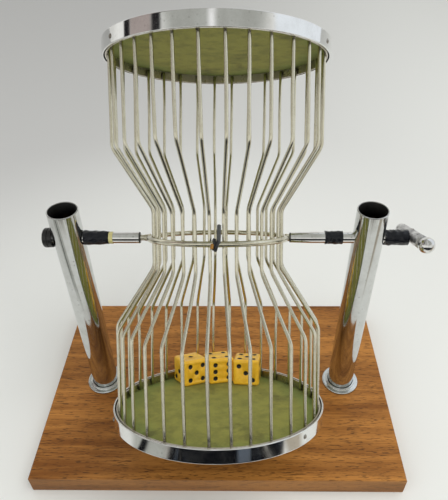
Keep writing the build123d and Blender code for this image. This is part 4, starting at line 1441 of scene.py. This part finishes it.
def make_world():
    world = bpy.data.worlds.new("Soft room")
    bpy.context.scene.world = world
    world.use_nodes = True
    tree = world.node_tree
    tree.nodes.clear()
    shader = Shader(tree)
    paths = shader.add("ShaderNodeLightPath").outputs
    seen = shader.maths("MAXIMUM", paths["Is Camera Ray"], paths["Is Transmission Ray"])
    dim = shader.add("ShaderNodeBackground", {"Color": (1, 1, 1, 1), "Strength": studio().sky})
    pale = shader.add("ShaderNodeBackground", {"Color": (0.72, 0.72, 0.71, 1), "Strength": 1.0})
    room = shader.add("ShaderNodeBackground", {"Color": room_tone(shader), "Strength": 1.0})
    plain = shader.add("ShaderNodeMixShader", {0: seen, 1: dim.outputs[0], 2: pale.outputs[0]})
    whole = shader.add("ShaderNodeMixShader", {0: paths["Is Glossy Ray"], 1: plain.outputs[0], 2: room.outputs[0]})
    output = shader.add("ShaderNodeOutputWorld")
    tree.links.new(whole.outputs[0], output.inputs[0])


def lamp(name, place, target, size, power, tone=(1, 1, 1)):
    data = bpy.data.lights.new(name, "AREA")
    data.shape = "RECTANGLE"
    data.size, data.size_y = size
    data.energy = power
    data.color = tone
    piece = bpy.data.objects.new(name, data)
    bpy.context.scene.collection.objects.link(piece)
    piece.location = place
    piece.visible_glossy = False
    aim = Vector(target) - Vector(place)
    piece.rotation_euler = aim.to_track_quat("-Z", "Y").to_euler()
    return piece


CAMERA_PLACE = (0.018018, -0.306852, 0.421775)
CAMERA_PITCH = 39.939
CAMERA_YAW = -1.051
CAMERA_ROLL = -0.676
OPTICAL_CENTRE = (231.625, 260.499)
IMAGE = (448, 500)


def make_camera():
    """The photograph's camera: forward is (sin yaw cos pitch, cos yaw cos pitch, -sin pitch), then rolled."""
    pitch, yaw, roll = (math.radians(a) for a in (CAMERA_PITCH, CAMERA_YAW, CAMERA_ROLL))
    forward = Vector((math.sin(yaw) * math.cos(pitch), math.cos(yaw) * math.cos(pitch), -math.sin(pitch)))
    level = Vector((math.cos(yaw), -math.sin(yaw), 0))
    up = level.cross(forward)
    right = math.cos(roll) * level + math.sin(roll) * up
    up = -math.sin(roll) * level + math.cos(roll) * up
    data = bpy.data.cameras.new("photo camera")
    data.lens = studio().lens
    data.sensor_width = 36.0
    long_side = max(IMAGE)
    data.shift_x = (IMAGE[0] / 2 - OPTICAL_CENTRE[0]) / long_side
    data.shift_y = (OPTICAL_CENTRE[1] - IMAGE[1] / 2) / long_side
    data.clip_start = 0.01
    camera = bpy.data.objects.new("photo camera", data)
    bpy.context.scene.collection.objects.link(camera)
    turn = Matrix((right, up, -forward)).transposed()
    camera.matrix_world = Matrix.Translation(CAMERA_PLACE) @ turn.to_4x4()
    bpy.context.scene.camera = camera


def make_stage():
    look = studio()
    make_floor()
    make_world()
    lamp("key lamp", (0.65, -0.25, 1.35), (0.1, 0, 0.05), (1.2, 1.0), look.key)
    lamp("fill lamp", (-0.9, -0.7, 1.1), (0, 0, 0.12), (0.9, 0.9), look.fill)
    make_reflection_card()
    make_camera()
    scene = bpy.context.scene
    scene.view_settings.view_transform = "Standard"


# Operators, one for each group of pieces, and the panel

def operator(name, label, words, work):
    """An operator class that runs one making function."""

    def execute(self, context):
        work()
        return {"FINISHED"}

    idname = "dicecage." + name
    return type("DICECAGE_OT_" + name, (bpy.types.Operator,), {"bl_idname": idname, "bl_label": label, "__doc__": words, "execute": execute})


OPERATORS = [
    operator("board", "Board", "Give the board, plugs and screws their finish", make_board),
    operator("posts", "Posts", "Make the two posts", make_posts),
    operator("flanges", "Post flanges", "Make the rings at the posts' feet", make_flanges),
    operator("hoops", "Hoops and bands", "Make the outer hoops and the bands inside them", make_hoops),
    operator("rivets", "Rivets", "Make the rivets of both hoops", make_rivets),
    operator("felts", "Felts", "Make the felt sheets and finish their discs", make_felts),
    operator("bars", "Bars", "Make the bent bars", make_bars),
    operator("solder", "Solder", "Make the beads that hold the bars", make_solder),
    operator("ring", "Waist ring", "Make the ring and its welds", make_ring),
    operator("axle", "Axle", "Make the rods and sleeves", make_axle),
    operator("tapes", "Tapes", "Make the wound tapes", make_tapes),
    operator("cap", "Cap", "Make the cap on the axle's left end", make_cap),
    operator("handle", "Handle", "Make the handle and its ball", make_handle),
    operator("tie", "Wire tie", "Make the tie on the ring", make_tie),
    operator("dice", "Dice", "Make the three dice", make_dice),
    operator("stage", "Studio", "Make the floor, lamps, cards and camera", make_stage),
]


class DICECAGE_PT_panel(bpy.types.Panel):
    """Lists the sizes, the finishes and the making steps."""

    bl_idname = "DICECAGE_PT_panel"
    bl_label = "Dice cage"
    bl_space_type = "VIEW_3D"
    bl_region_type = "UI"
    bl_category = "Dice cage"

    def draw(self, context):
        for made in OPERATORS:
            self.layout.operator(made.bl_idname)
        scene = context.scene
        for settings in (scene.dice_cage_wire, scene.dice_cage_axle, scene.dice_cage_finishes, scene.dice_cage_studio):
            box = self.layout.box()
            for name in settings.__annotations__:
                box.prop(settings, name)


SETTINGS = {
    "dice_cage_wire": CageSizes,
    "dice_cage_axle": AxleSizes,
    "dice_cage_finishes": Finishes,
    "dice_cage_studio": Studio,
}


def register():
    for name, kind in SETTINGS.items():
        bpy.utils.register_class(kind)
        setattr(bpy.types.Scene, name, PointerProperty(type=kind))
    for made in OPERATORS:
        bpy.utils.register_class(made)
    bpy.utils.register_class(DICECAGE_PT_panel)


def unregister():
    bpy.utils.unregister_class(DICECAGE_PT_panel)
    for made in reversed(OPERATORS):
        bpy.utils.unregister_class(made)
    for name, kind in SETTINGS.items():
        delattr(bpy.types.Scene, name)
        bpy.utils.unregister_class(kind)


def main():
    register()
    for made in OPERATORS:
        getattr(bpy.ops.dicecage, made.bl_idname.split(".")[1])()


if __name__ == "__main__":
    main()
